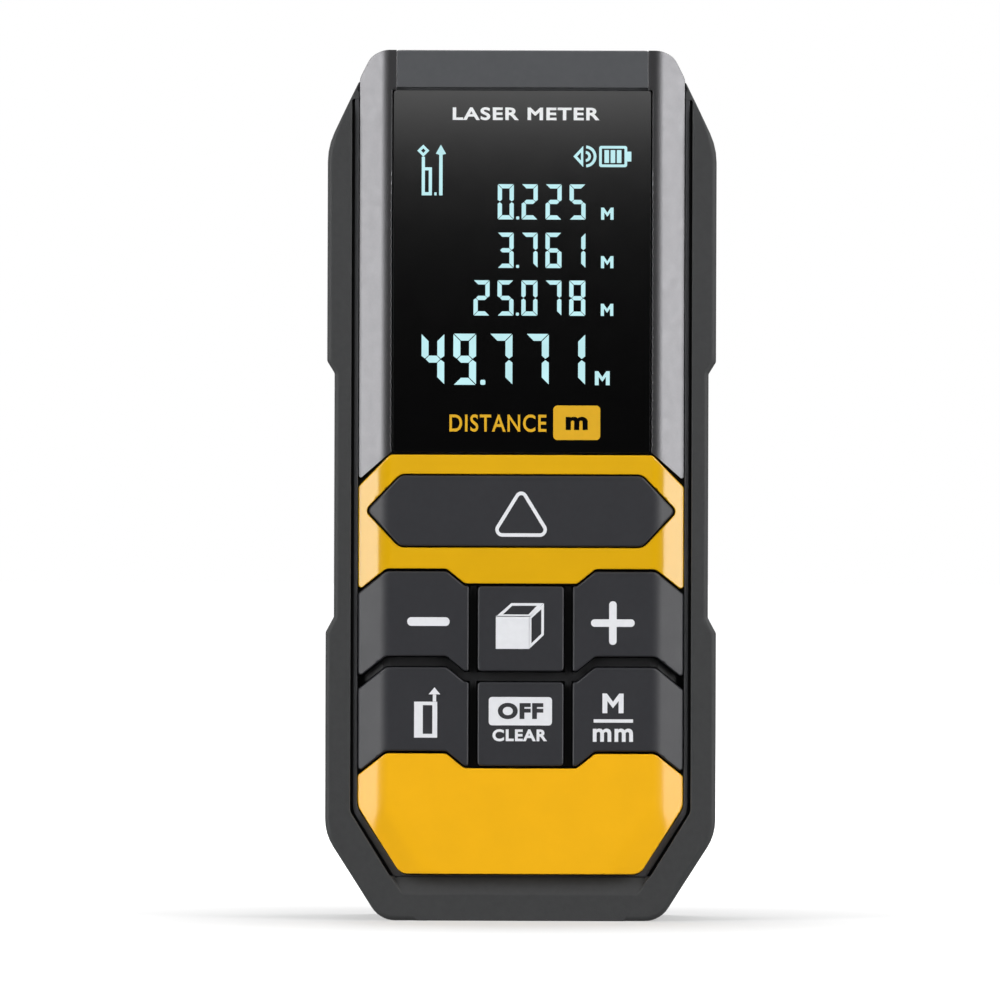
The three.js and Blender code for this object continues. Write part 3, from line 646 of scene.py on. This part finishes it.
def make_upper_cover():
    step = upper_low[2] + STEP_OUTER
    side = [*wave(step), (FACE_HALF, upper_high[2] - 4.2, 0.5), (17.3, upper_high[2], 0.8)]
    hole = reversed_loop(measure_outline(MEASURE_GAP))
    mesh = Mesh().slab([mirrored(side), hole], front_surface(COVER_FACE, COVER_EASE), COVER_BACK, 0.15,
                       samples=slope_samples(43, 62))
    # the upper cover takes the darker copy of the yellow, which is painted shade
    mesh.build("upper_cover_shell", "yellow_painted_shade", "case", ["upper_cover"], "yellow")


LOWER_FOOT = (15.8, lower_low[2])
LOWER_KNEE = (FACE_HALF, 15.1)
CORNER_WIDTH = 4.3  # of the bevel along the lower cover's slanting corners
CORNER_SLOPE = 0.2


def corner_drop(u, v):
    """How far the bevel along the slanting corners lies below the flat."""
    outside = outside_slant(u, v, LOWER_FOOT, LOWER_KNEE)
    return eased_ramp(outside + CORNER_WIDTH, COVER_EASE, CORNER_SLOPE)


def make_lower_cover():
    side = [(*LOWER_FOOT, 1.8), (*LOWER_KNEE, 2.4), *reversed(wave(lower_high[2]))]

    def face(u, v):
        side_drop = eased_ramp(np.abs(u) - SLOPE_START, COVER_EASE)
        return COVER_FACE - (side_drop**4 + corner_drop(u, v) ** 4) ** 0.25

    insets = [*np.linspace(CORNER_WIDTH + 0.1, CORNER_WIDTH - COVER_EASE - 0.1, 12), 0.7]
    creases = slant_samples(LOWER_FOOT, LOWER_KNEE, insets, before=0.4, length=1.6, spacing=0.9)
    mesh = Mesh().slab([mirrored(side)], face, COVER_BACK, 0.15,
                       samples=slope_samples(6, 23) + both_sides(creases))
    mesh.build("lower_cover_shell", "yellow", "case", ["lower_cover"], "yellow")


# ---- keys
def measure_outline(gap=0.0):
    """The measure key's hexagon, or the hole round it."""
    low, high = box_mm("measure_key")
    middle = (low[2] + high[2]) / 2
    return mirrored([
        (16.0 + gap * 0.4, low[2] - gap, 1.4 + gap),
        (high[0] + 0.25 + gap * 1.4, middle, 0.7 + gap),
        (15.9 + gap * 0.4, high[2] + gap, 1.4 + gap),
    ])


def key_outlines():
    """Each key's outline, from its CAD box."""
    outlines = {"measure_key": measure_outline()}
    for left, centre, right in (("minus_key", "function_key", "plus_key"),
                                ("reference_key", "clear_key", "units_key")):
        low, high = box_mm(right)
        inner, top, bottom = low[0], high[2], low[2] + STEP_OUTER
        side = [
            (inner, bottom - STEP_INNER, 0.45), *wave(bottom),
            *reversed(wave(top)), (inner, top - STEP_INNER, 0.45),
        ]
        half = box_mm(centre)[1][0]
        outlines[right] = side
        outlines[left] = flipped(side)
        outlines[centre] = rectangle(-half, half, bottom - STEP_INNER, top - STEP_INNER, 0.5)
    return outlines


KEY_BACK = 3.85  # from a CAD key's face to the back of its cap
STEM_FRONT = 3.9  # from a CAD key's face to the stem behind the cap
STEM_RADIUS = 2.0


def make_keys():
    for name, outline in key_outlines().items():
        low, high = box_mm(name)
        mesh = Mesh().slab([outline], front_surface(KEY_FACE), -(low[1] + KEY_BACK), 0.24,
                           samples=slope_samples(low[2] - 1, high[2] + 1))
        u, v = (low[0] + high[0]) / 2, (low[2] + high[2]) / 2
        mesh.slab([circle(u, v, STEM_RADIUS)], -(low[1] + STEM_FRONT), -high[1])
        mesh.build(f"{name}_cap", "key", name, [name], "key")


# ---- bumper and case rim
CASE_HALF = rear_high[0] + CLEARANCE
RIM_HALF = 22.12
GROOVE_HALF = 22.5  # half the width between the groove's outer edges
GROOVE_TOP = 108.5
GROOVE_KNEE = (GROOVE_HALF, 14.4)
LIP_TOP = lower_low[2] - 0.35
LIP_CREASE = 3.3  # height from which the lip under the lower cover slopes back
LIP_SLOPE = 0.36
LIP_CORNER = (16.1, 4.1)  # where the groove's slanting edge dies out in the lip
TIP_START, TIP_LENGTH, TIP_DROP = 105, 5, 1.1  # where the bumper's tips curve back, and how far
EDGE_FADE = (103, 107)  # heights between which the outer edge gets sharper
EDGE_RADII = (0.7, 0.12)  # radius of the outer edge below and above them
INNER_EDGE = 0.14  # radius of the inner edges


def outer_side():
    """The silhouette's right-hand side, from the foot up to the tip of the bumper."""
    waist = 24.72
    low_half = bumper_high[0]
    high_half = low_half - 0.1
    return [
        (18.5, 0, 3.7), (low_half, 11.4, 6.8), (low_half, 38.1, 0.6), (waist, 40.1, 0.6),
        (waist, 72.3, 0.6), (high_half, 73.9, 0.6), (high_half, 102.3, 9),
    ]


def groove_edge_distance(u, v):
    """Distance inside the slanting stretch of the groove's outer edge."""
    return -outside_slant(u, v, LIP_CORNER, GROOVE_KNEE)


def bumper_surface(u, v):
    inside = np.clip(groove_edge_distance(u, v) / 0.3, 0, 1)
    inside = inside * inside * (3 - 2 * inside)
    ease = 0.2
    lip = LIP_SLOPE * (np.sqrt(np.maximum(v - LIP_CREASE, 0) ** 2 + ease**2) - ease)
    tip_drop = TIP_DROP * np.clip((v - TIP_START) / TIP_LENGTH, 0, 1) ** 2
    return BUMPER_FACE - inside * lip * (v < LIP_TOP + 0.2) - tip_drop


def make_bumper():
    tip = (21.62, bumper_high[2], 0.05)
    front_inner = [
        (21.55, GROOVE_TOP, 0.1), (GROOVE_HALF, GROOVE_TOP, 0.2), (*GROOVE_KNEE, 1.6),
        (17.2, LIP_TOP, 0.3),
    ]
    case_inner = [
        (21.15, bumper_high[2], 0.05), (CASE_HALF, 108.4, 3), (CASE_HALF, 15.06, 4), (14.5, 3, 2),
    ]
    join_depth = BUMPER_FACE - 2.2

    def radius(v, inner):
        return np.where(inner, INNER_EDGE, np.interp(v, EDGE_FADE, EDGE_RADII))

    def front_radius(u, v):
        return radius(v, (np.abs(u) < GROOVE_HALF + 0.1) & (groove_edge_distance(u, v) > -0.1))

    def back_radius(u, v):
        return radius(v, (np.abs(u) < CASE_HALF + 0.1) & (v > 2.5))

    insets = (-0.1, 0.0, 0.08, 0.16, 0.24, 0.32, 0.45)
    slanting = slant_samples(LIP_CORNER, GROOVE_KNEE, insets, before=0.15, length=0.5, spacing=0.3)
    creases = [p for v in (2.9, 3.1, 3.3, 3.5, 3.7, 4.2, 4.9) for p in line((0, v), (17, v), 0.8)]
    creases += line((0, 1.5), (17, 1.5), 2)
    tips = [(u, v) for u in (22.0, 22.8, 23.4, 24.0) for v in np.arange(104, 111, 0.5)]
    mesh = Mesh()
    mesh.slab([mirrored(outer_side() + [tip] + front_inner)], bumper_surface, join_depth, front_radius,
              samples=both_sides(slanting + creases + tips))
    mesh.slab([mirrored(outer_side() + [tip] + case_inner)], join_depth, -bumper_high[1], 0.0, back_radius)
    mesh.build("rubber_bumper", "bumper", "case", ["bumper"], "bumper")


def make_case_rim():
    """The case's edge, seen as a thin strip between the covers and the groove."""
    outer = [(16.7, LIP_TOP, 0.3), (RIM_HALF, 14.4, 2.6), (RIM_HALF, GROOVE_TOP + 0.4, 0.1)]
    inner = [
        (FACE_HALF + 0.1, GROOVE_TOP + 0.4, 0.05), (FACE_HALF + 0.1, 15.0, 2.4),
        (15.7, lower_low[2] - 0.15, 1.8),
    ]
    mesh = Mesh().slab([mirrored(outer + inner)], COVER_FACE - 1.65, COVER_FACE - 4.5, 0.08)
    mesh.build("case_rim", "casing", "case", slot="casing")


# ---- legends and display contents
def ink(mesh, loops, face, thickness=INK):
    """A printed shape: a very thin slab on a flat face."""
    mesh.slab(loops, face + thickness, face - INK_ROOT, spacing=2.0)


def lit(mesh, *loops):
    """A shape on the display."""
    ink(mesh, loops, WINDOW_FACE, DISPLAY_INK)


def bar(u0, u1, v0, v1, radius=0.05):
    return rectangle(u0, u1, v0, v1, radius)


def plus_sign(u, v, arm, reach, tip_radius, inner_radius):
    """A plus sign centred on (u, v): arm is half the width of its arms, and reach their length."""
    quarter = [(reach, -arm, tip_radius), (reach, arm, tip_radius), (arm, arm, inner_radius)]
    outline = []
    for _ in range(4):
        outline += [(u + a, v + b, r) for a, b, r in quarter]
        quarter = [(-b, a, r) for a, b, r in quarter]
    return outline


def ring(outline_out, outline_in):
    return [outline_out, reversed_loop(outline_in)]


def emboldened(loop, amount):
    """The outline moved sideways by an amount, its sharp corners cut to twice that."""
    along = np.roll(loop, -1, 0) - loop
    along /= np.linalg.norm(along, axis=1)[:, None]
    outward = np.column_stack((along[:, 1], -along[:, 0]))
    corner = outward + np.roll(outward, 1, 0)
    reach = np.maximum((corner * outward).sum(1), 0.5)
    return loop + amount * corner / reach[:, None]


def enclosed(loops):
    """The area inside the outlines, positive where they run anticlockwise."""
    return sum(0.5 * (a[0] * b[1] - b[0] * a[1])
               for loop in loops for a, b in zip(loop, np.roll(loop, -1, 0)))


REPEATED = 1e-5  # neighbouring points of a letter closer than this are one
CAPITAL = 0.7  # height of a capital letter, as a share of the font's size


def letter_loops(words, size, bold):
    """The closed outlines of the words' letters; a bold outline may cross itself."""
    curve = bpy.data.curves.new("letters", "FONT")
    curve.body = words
    curve.size = size
    curve.fill_mode = "NONE"
    curve.resolution_u = 6
    curve.space_character = 1.12
    holder = add_object("letters", curve)
    bpy.context.view_layer.update()
    drawn = bpy.data.meshes.new_from_object(holder.evaluated_get(bpy.context.evaluated_depsgraph_get()))
    bpy.data.objects.remove(holder)
    following = dict(tuple(e.vertices) for e in drawn.edges)
    loops = []
    while following:
        loop = [next(iter(following))]
        while loop[-1] in following:
            loop.append(following.pop(loop[-1]))
        points = np.array([drawn.vertices[i].co[:2] for i in loop[:-1]])
        apart = np.linalg.norm(np.roll(points, -1, 0) - points, axis=1) > REPEATED
        loops.append(points[apart])
    outward = np.sign(enclosed(loops))
    return [emboldened(loop, bold * outward) for loop in loops]


def text(name, words, centre, width, height, face, material, rides_on, bold=0.0, plane=FRONT):
    """Words as a flat piece of the given width and height, centred on a place of the face."""
    loops = letter_loops(words, height / CAPITAL, bold)
    start = np.vstack(loops)
    low, high = start.min(0), start.max(0)
    loops = [(loop - (low + high) / 2) * (width, height) / (high - low) + centre for loop in loops]
    start = np.vstack(loops)
    end = np.vstack([np.roll(loop, -1, 0) for loop in loops])
    flat, triangles, _ = triangulated(start, closed_sides(loops))
    inked = turns(flat[triangles].mean(1), start, end) * np.sign(enclosed(loops)) > 0
    triangles = triangles[inked & (areas(flat, triangles) > NO_AREA)]

    mesh = Mesh(plane)
    upper, lower = face + INK, face - INK_ROOT
    for depth, facing in ((upper, 1), (lower, -1)):
        points = np.column_stack((flat, np.full(len(flat), depth)))
        index = mesh.add(points, np.tile((0, 0, facing), (len(flat), 1)))
        mesh.faces += [tuple(index[t[::facing]]) for t in triangles]
    inside = {tuple(side) for triangle in sides(triangles).tolist() for side in triangle}
    for a, b in sorted(side for side in inside if side[::-1] not in inside):
        (ua, va), (ub, vb) = flat[a], flat[b]
        wall = [(ua, va, lower), (ub, vb, lower), (ub, vb, upper), (ua, va, upper)]
        index = mesh.add(wall, np.tile((vb - va, ua - ub, 0), (4, 1)))
        mesh.faces.append(tuple(index))
    mesh.build(name, material, rides_on)


SEGMENTS = {
    "0": "abcdef", "1": "bc", "2": "abged", "3": "abgcd", "4": "fgbc",
    "5": "afgcd", "6": "afgecd", "7": "abc", "8": "abcdefg", "9": "abfgcd",
}


def segment_outlines(width, height, stroke):
    """The seven segments of a digit whose lower left corner is the origin."""
    gap = 0.09 * stroke
    middle = height / 2
    inner, outer = stroke + gap, width - stroke - gap
    above = middle + 0.45 * stroke
    top = [(gap, height), (inner, height - stroke), (outer, height - stroke), (width - gap, height)]
    upper_left = [
        (0, height - gap), (0, above), (stroke / 2, middle + gap),
        (stroke, above + gap), (stroke, height - stroke - gap),
    ]
    centre = [
        (stroke / 2 + gap, middle), (inner, middle - stroke / 2), (outer, middle - stroke / 2),
        (width - stroke / 2 - gap, middle), (outer, middle + stroke / 2), (inner, middle + stroke / 2),
    ]

    def upside_down(points):
        return [(u, height - v) for u, v in reversed(points)]

    def left_right(points):
        return [(width - u, v) for u, v in reversed(points)]

    return {
        "a": top, "d": upside_down(top), "f": upper_left, "e": upside_down(upper_left),
        "b": left_right(upper_left), "c": left_right(upside_down(upper_left)), "g": centre,
    }


def number(mesh, reading, bottom, width, height, stroke, pitch, first_shift=0.0):
    """A reading in seven-segment digits."""
    digits = [c for c in reading if c != "."]
    shapes = segment_outlines(width, height, stroke)
    for i, digit in enumerate(digits):
        left = DIGIT_RIGHT - width - (len(digits) - 1 - i) * pitch + (first_shift if i == 0 else 0)
        for key in SEGMENTS[digit]:
            lit(mesh, polygon([(left + u, bottom + v) for u, v in shapes[key]]))
    before_point = reading.index(".") - 1
    gap_middle = DIGIT_RIGHT - (len(digits) - 1 - before_point) * pitch + (pitch - width) / 2
    dot = stroke * 0.36
    lit(mesh, rectangle(gap_middle - dot, gap_middle + dot, bottom, bottom + 2 * dot, dot * 0.6))


def letter_m(left, bottom, width, height, stroke):
    """A capital M, the sign for metres."""
    right, top = left + width, bottom + height
    middle = (left + right) / 2
    return polygon([
        (left, bottom), (left + stroke, bottom), (left + stroke, top - 1.5 * stroke),
        (middle, bottom + 0.25 * height), (right - stroke, top - 1.5 * stroke),
        (right - stroke, bottom), (right, bottom), (right, top), (right - stroke * 0.9, top),
        (middle, top - 0.42 * height), (left + stroke * 0.9, top), (left, top),
    ])


DIGIT_RIGHT = 8.38  # where the last digit of every reading ends
READINGS = (("0.225", 92.65), ("3.761", 86.25), ("25.078", 79.95))  # each with its lower edge
MAIN_READING = ("49.771", 70.8)


def make_readings():
    mesh = Mesh()
    for reading, bottom in READINGS:
        number(mesh, reading, bottom, width=2.12, height=4.66, stroke=0.56, pitch=3.16)
        lit(mesh, letter_m(DIGIT_RIGHT + 2.05, bottom, width=1.65, height=1.6, stroke=0.42))
    reading, bottom = MAIN_READING
    number(mesh, reading, bottom, width=3.0, height=6.75, stroke=0.92, pitch=4.8, first_shift=0.6)
    lit(mesh, letter_m(DIGIT_RIGHT + 1.3, bottom, width=1.95, height=1.85, stroke=0.5))
    mesh.build("display_readings", "digits", "case")


def make_display_icons():
    mesh = Mesh()
    # where the reading starts: the meter with its pin folded out, and an arrow beside it
    left, bottom, top = -13.27, 95.8, 101.0
    lit(mesh, *ring(bar(left, left + 1.35, bottom, 99.5), bar(left + 0.42, left + 0.93, bottom + 0.42, 99.1)))
    lit(mesh, bar(left, left + 0.42, 99.5, 100.9))
    pin_u, pin_v = left + 0.2, top + 0.7
    diamond, hollow = (
        polygon([(pin_u, pin_v - r), (pin_u + r, pin_v), (pin_u, pin_v + r), (pin_u - r, pin_v)])
        for r in (0.8, 0.3)
    )
    lit(mesh, *ring(diamond, hollow))
    lit(mesh, bar(-11.6, -11.3, bottom, bottom + 0.4))
    lit(mesh, bar(-10.97, -10.52, bottom, 101.2))
    lit(mesh, polygon([(-11.42, 101.3), (-10.75, 101.1), (-10.07, 101.3), (-10.75, 102.5)]))
    # sounder: a cone and two arcs
    u, v = 6.75, 101.0
    cone = polygon([(u, v), (u + 1.3, v - 1.4), (u + 1.3, v + 1.4)])
    hollow = polygon([(u + 0.5, v), (u + 1.0, v - 0.55), (u + 1.0, v + 0.55)])
    lit(mesh, *ring(cone, hollow))
    for radii in ((1.45, 1.08), (0.72, 0.36)):
        arc = [(u + 1.6 + r * math.cos(a), v + r * math.sin(a))
               for r, end in zip(radii, (1.5, -1.5)) for a in np.linspace(-end, end, 13)]
        lit(mesh, polygon(arc))
    # battery: a case, its contact and three bars of charge
    lit(mesh, *ring(rectangle(10.15, 13.85, 99.6, 102.4, 0.3), rectangle(10.5, 13.5, 99.95, 102.05, 0.1)))
    lit(mesh, bar(13.85, 14.4, 100.35, 101.65))
    for u in (10.85, 11.67, 12.49):
        lit(mesh, bar(u, u + 0.6, 100.15, 101.85))
    mesh.build("display_icons", "digits", "case")


def make_display_print():
    face = WINDOW_FACE
    text("print_title", "LASER METER", (0.5, 106.6), 19.4, 1.7, face, "print_white", "case", bold=0.07)
    text("print_distance", "DISTANCE", (-3.1, 65.75), 12.8, 2.3, face, "print_yellow", "case", bold=0.05)
    mesh = Mesh()
    lit(mesh, rectangle(4.2, 10.4, 63.55, 68.1, 0.55))
    mesh.build("print_badge", "print_yellow", "case")
    text("print_badge_text", "m", (7.3, 65.75), 2.9, 1.75, face + DISPLAY_INK, "window", "case", bold=0.1)


def make_key_legends():
    def legend(name, key, shapes):
        mesh = Mesh()
        for loops in shapes:
            ink(mesh, loops, KEY_FACE)
        mesh.build(name, "legend", key)

    triangle = [(-4.15, 50.75, 0.95), (4.15, 50.75, 0.95), (0, 57.5, 0.85)]
    hollow = [(-3.3, 51.22, 0.45), (3.3, 51.22, 0.45), (0, 56.62, 0.4)]
    legend("legend_measure", "measure_key", [ring(triangle, hollow)])
    legend("legend_minus", "minus_key", [[rectangle(-15.0, -9.4, 38.95, 40.1, 0.57)]])
    plus = plus_sign(12.15, 39.4, arm=0.5, reach=2.88, tip_radius=0.48, inner_radius=0.05)
    legend("legend_plus", "plus_key", [[plus]])
    legend("legend_cube", "function_key", [
        [bar(-3.3, 1.15, 35.95, 40.3)],
        ring(polygon([(-3.3, 40.2), (1.2, 40.2), (3.0, 42.0), (-1.25, 42.0)]),
             polygon([(-2.35, 40.5), (1.0, 40.5), (2.1, 41.65), (-1.15, 41.65)])),
        ring(polygon([(1.1, 35.95), (3.05, 37.8), (3.05, 42.0), (1.1, 40.2)]),
             polygon([(1.4, 36.7), (2.7, 37.95), (2.7, 41.2), (1.4, 40.0)])),
    ])
    legend("legend_reference", "reference_key", [
        ring(bar(-14.05, -11.0, 24.2, 28.95), bar(-12.9, -11.65, 24.7, 28.5)),
        [bar(-11.6, -11.15, 28.97, 29.9)],
        [polygon([(-12.15, 29.92), (-10.6, 29.92), (-11.37, 30.85)])],
    ])
    badge = Mesh()
    ink(badge, [rectangle(-4.2, 4.15, 25.85, 29.6, 0.45)], KEY_FACE, INK / 2)
    badge.build("legend_off_badge", "legend", "clear_key")
    text("legend_off", "OFF", (0, 27.75), 6.0, 2.15, KEY_FACE, "badge_ink", "clear_key", bold=0.16)
    text("legend_clear", "CLEAR", (-0.1, 24.55), 7.2, 1.6, KEY_FACE, "legend", "clear_key", bold=0.085)
    legend("legend_metres", "units_key", [
        [letter_m(10.8, 27.5, width=2.8, height=2.6, stroke=0.66)],
        [bar(9.65, 14.85, 26.25, 26.7)],
    ])
    text("legend_millimetres", "mm", (12.2, 24.6), 5.3, 1.75, KEY_FACE, "legend", "units_key", bold=0.07)


# ---- back
def make_screws():
    """Countersunk screws with a cross recess, seen at the bottom of their holes in the back."""
    recess_depth, head_depth = 0.7, 1.3
    for place in ("lower_left", "lower_right", "upper_left", "upper_right"):
        node = f"case_screw_{place}"
        low, high = box_mm(node)
        u, v = -(low[0] + high[0]) / 2, (low[2] + high[2]) / 2
        head, top = (high[0] - low[0]) / 2, high[1]
        recess = plus_sign(u, v, arm=0.26, reach=1.05, tip_radius=0.06, inner_radius=0.06)
        mesh = Mesh(BACK)
        mesh.slab([circle(u, v, head), reversed_loop(recess)], top, top - recess_depth, 0.18, spacing=0.2)
        mesh.slab([circle(u, v, head)], top - recess_depth, top - head_depth, spacing=0.4)
        mesh.slab([circle(u, v, 0.5 * head)], top - head_depth, low[1], spacing=0.4)
        mesh.build(f"screw_{place}", "screw", "case", [node], "screw")


def make_label_print():
    """A ruled frame with two lines to write on."""
    low, high = box_mm("rear_label")
    face = high[1]
    margin = 1.2
    (u0, _, v0), (u1, _, v1) = low + margin, high - margin
    mesh = Mesh(BACK)
    outer = rectangle(u0, u1, v0, v1, 1.0)
    inner = rectangle(u0 + 0.25, u1 - 0.25, v0 + 0.25, v1 - 0.25, 0.8)
    ink(mesh, ring(outer, inner), face)
    for v in (v0 + 4.0, v0 + 9.0):
        ink(mesh, [bar(u0 + 2.0, u1 - 2.0, v, v + 0.2)], face)
    mesh.build("label_print", "badge_ink", "case")
    text("label_name", "NAME", (u0 + 4.6, v1 - 3.0), 5.2, 1.6, face, "badge_ink", "case", plane=BACK)


SOFTENED = {"rear_housing": 0.25, "front_housing": 0.15, "battery_door": 0.2, "rear_label": 0.05}


def soften():
    """Rounds the sharp edges of the CAD nodes that stay visible, each by its own width."""
    for node, width in SOFTENED.items():
        weld = frame["nodes"][node].modifiers.new("weld", "WELD")
        weld.merge_threshold = 0.001 * MM
        bevel = frame["nodes"][node].modifiers.new("bevel", "BEVEL")
        bevel.width = width * MM
        bevel.segments = 3
        bevel.limit_method = "ANGLE"
        bevel.angle_limit = math.radians(28)


make_screws()
make_label_print()
soften()
make_bezel()
make_window()
make_cap()
make_optics()
make_upper_cover()
make_lower_cover()
make_keys()
make_bumper()
make_case_rim()
make_readings()
make_display_icons()
make_display_print()
make_key_legends()


# ---- studio
def softbox(name, azimuth, elevation, distance, width, tall, radiance):
    """A rectangular light aimed at the middle of the meter; azimuth 0 is in front of it."""
    a, e = math.radians(azimuth), math.radians(elevation)
    direction = Vector((math.sin(a) * math.cos(e), -math.cos(a) * math.cos(e), math.sin(e)))
    target = Vector((0, 0, HEIGHT / 2 * MM))
    data = bpy.data.lights.new(name, "AREA")
    data.shape = "RECTANGLE"
    data.size, data.size_y = width, tall
    data.energy = radiance * math.pi * width * tall
    lamp = add_object(name, data)
    lamp.location = target + direction * distance
    lamp.rotation_mode = "QUATERNION"
    lamp.rotation_quaternion = direction.to_track_quat("Z", "Y")
    lamp.visible_camera = False


def make_floor():
    """White paper that glows and burns out to pure white away from the meter. Its glow is dimmer near the
    meter, which paints shade round it and keeps the shadow under it.
    """
    half = 6.0
    mesh = bpy.data.meshes.new("floor")
    corners = [(-half, -half, 0), (half, -half, 0), (half, half, 0), (-half, half, 0)]
    mesh.from_pydata(corners, [], [(0, 1, 2, 3)])
    material = surface("floor_paper_painted_shade", (0.37, 0.37, 0.37), 0.9, speckle=0.004, speckle_size=40, specular=0.0)
    tree = material.node_tree
    shader = tree.nodes["Principled BSDF"]
    shader.inputs["Emission Color"].default_value = (1, 1, 1, 1)
    away = tree.nodes.new("ShaderNodeVectorMath")
    away.operation = "LENGTH"
    tree.links.new(coordinates(tree, "Object"), away.inputs[0])
    # painted shade: the glow fades towards the meter, so the floor round it is darker
    glow = mapped(tree, away.outputs["Value"], (0.03, 0.12), (0.4, 1.0))
    tree.links.new(glow, shader.inputs["Emission Strength"])
    mesh.materials.append(material)
    floor = add_object("floor", mesh)
    floor.visible_glossy = False
    floor.visible_diffuse = False


def make_world():
    """White behind the meter; what lights it is dim, and dark on the camera's side."""
    world = bpy.data.worlds.new("studio")
    bpy.context.scene.world = world
    world.use_nodes = True
    tree = world.node_tree
    background = tree.nodes["Background"]
    background.inputs["Color"].default_value = (1, 1, 1, 1)
    parts = tree.nodes.new("ShaderNodeSeparateXYZ")
    tree.links.new(coordinates(tree, "Generated"), parts.inputs["Vector"])
    fill = mapped(tree, parts.outputs["Y"], (-0.9, 0.0), (0.04, 0.35))
    rays = tree.nodes.new("ShaderNodeLightPath")
    seen = tree.nodes.new("ShaderNodeMath")
    seen.operation = "MAXIMUM"
    tree.links.new(rays.outputs["Is Camera Ray"], seen.inputs[0])
    tree.links.new(fill, seen.inputs[1])
    tree.links.new(seen.outputs["Value"], background.inputs["Strength"])


def make_camera():
    """Far off and almost level, with the meter a little right of the picture's centre."""
    frame_height = 132.0 * MM
    distance = 1.5
    aim_x, aim_z = -2.8 * MM, 55.6 * MM
    roll = math.radians(-0.18)
    data = bpy.data.cameras.new("camera")
    data.sensor_width = 36
    data.lens = data.sensor_width * distance / frame_height
    data.clip_start, data.clip_end = 0.05, 50
    camera = add_object("camera", data)
    camera.location = (aim_x, -distance + cad_box[0].y, aim_z)
    camera.rotation_euler = (math.pi / 2, roll, 0)
    bpy.context.scene.camera = camera


make_floor()
make_world()
make_camera()
softbox("left_softbox", azimuth=-58, elevation=8, distance=0.8, width=0.33, tall=1.1, radiance=7.9)
softbox("right_softbox", azimuth=58, elevation=8, distance=0.8, width=0.33, tall=1.1, radiance=8.3)
softbox("top_softbox", azimuth=160, elevation=62, distance=0.9, width=1.0, tall=0.8, radiance=2.4)
softbox("back_softbox", azimuth=205, elevation=25, distance=0.9, width=0.7, tall=0.6, radiance=2.8)
softbox("glass_card", azimuth=0, elevation=7.6, distance=1.2, width=0.12, tall=0.14, radiance=3.2)
bpy.context.scene.view_settings.view_transform = "Standard"
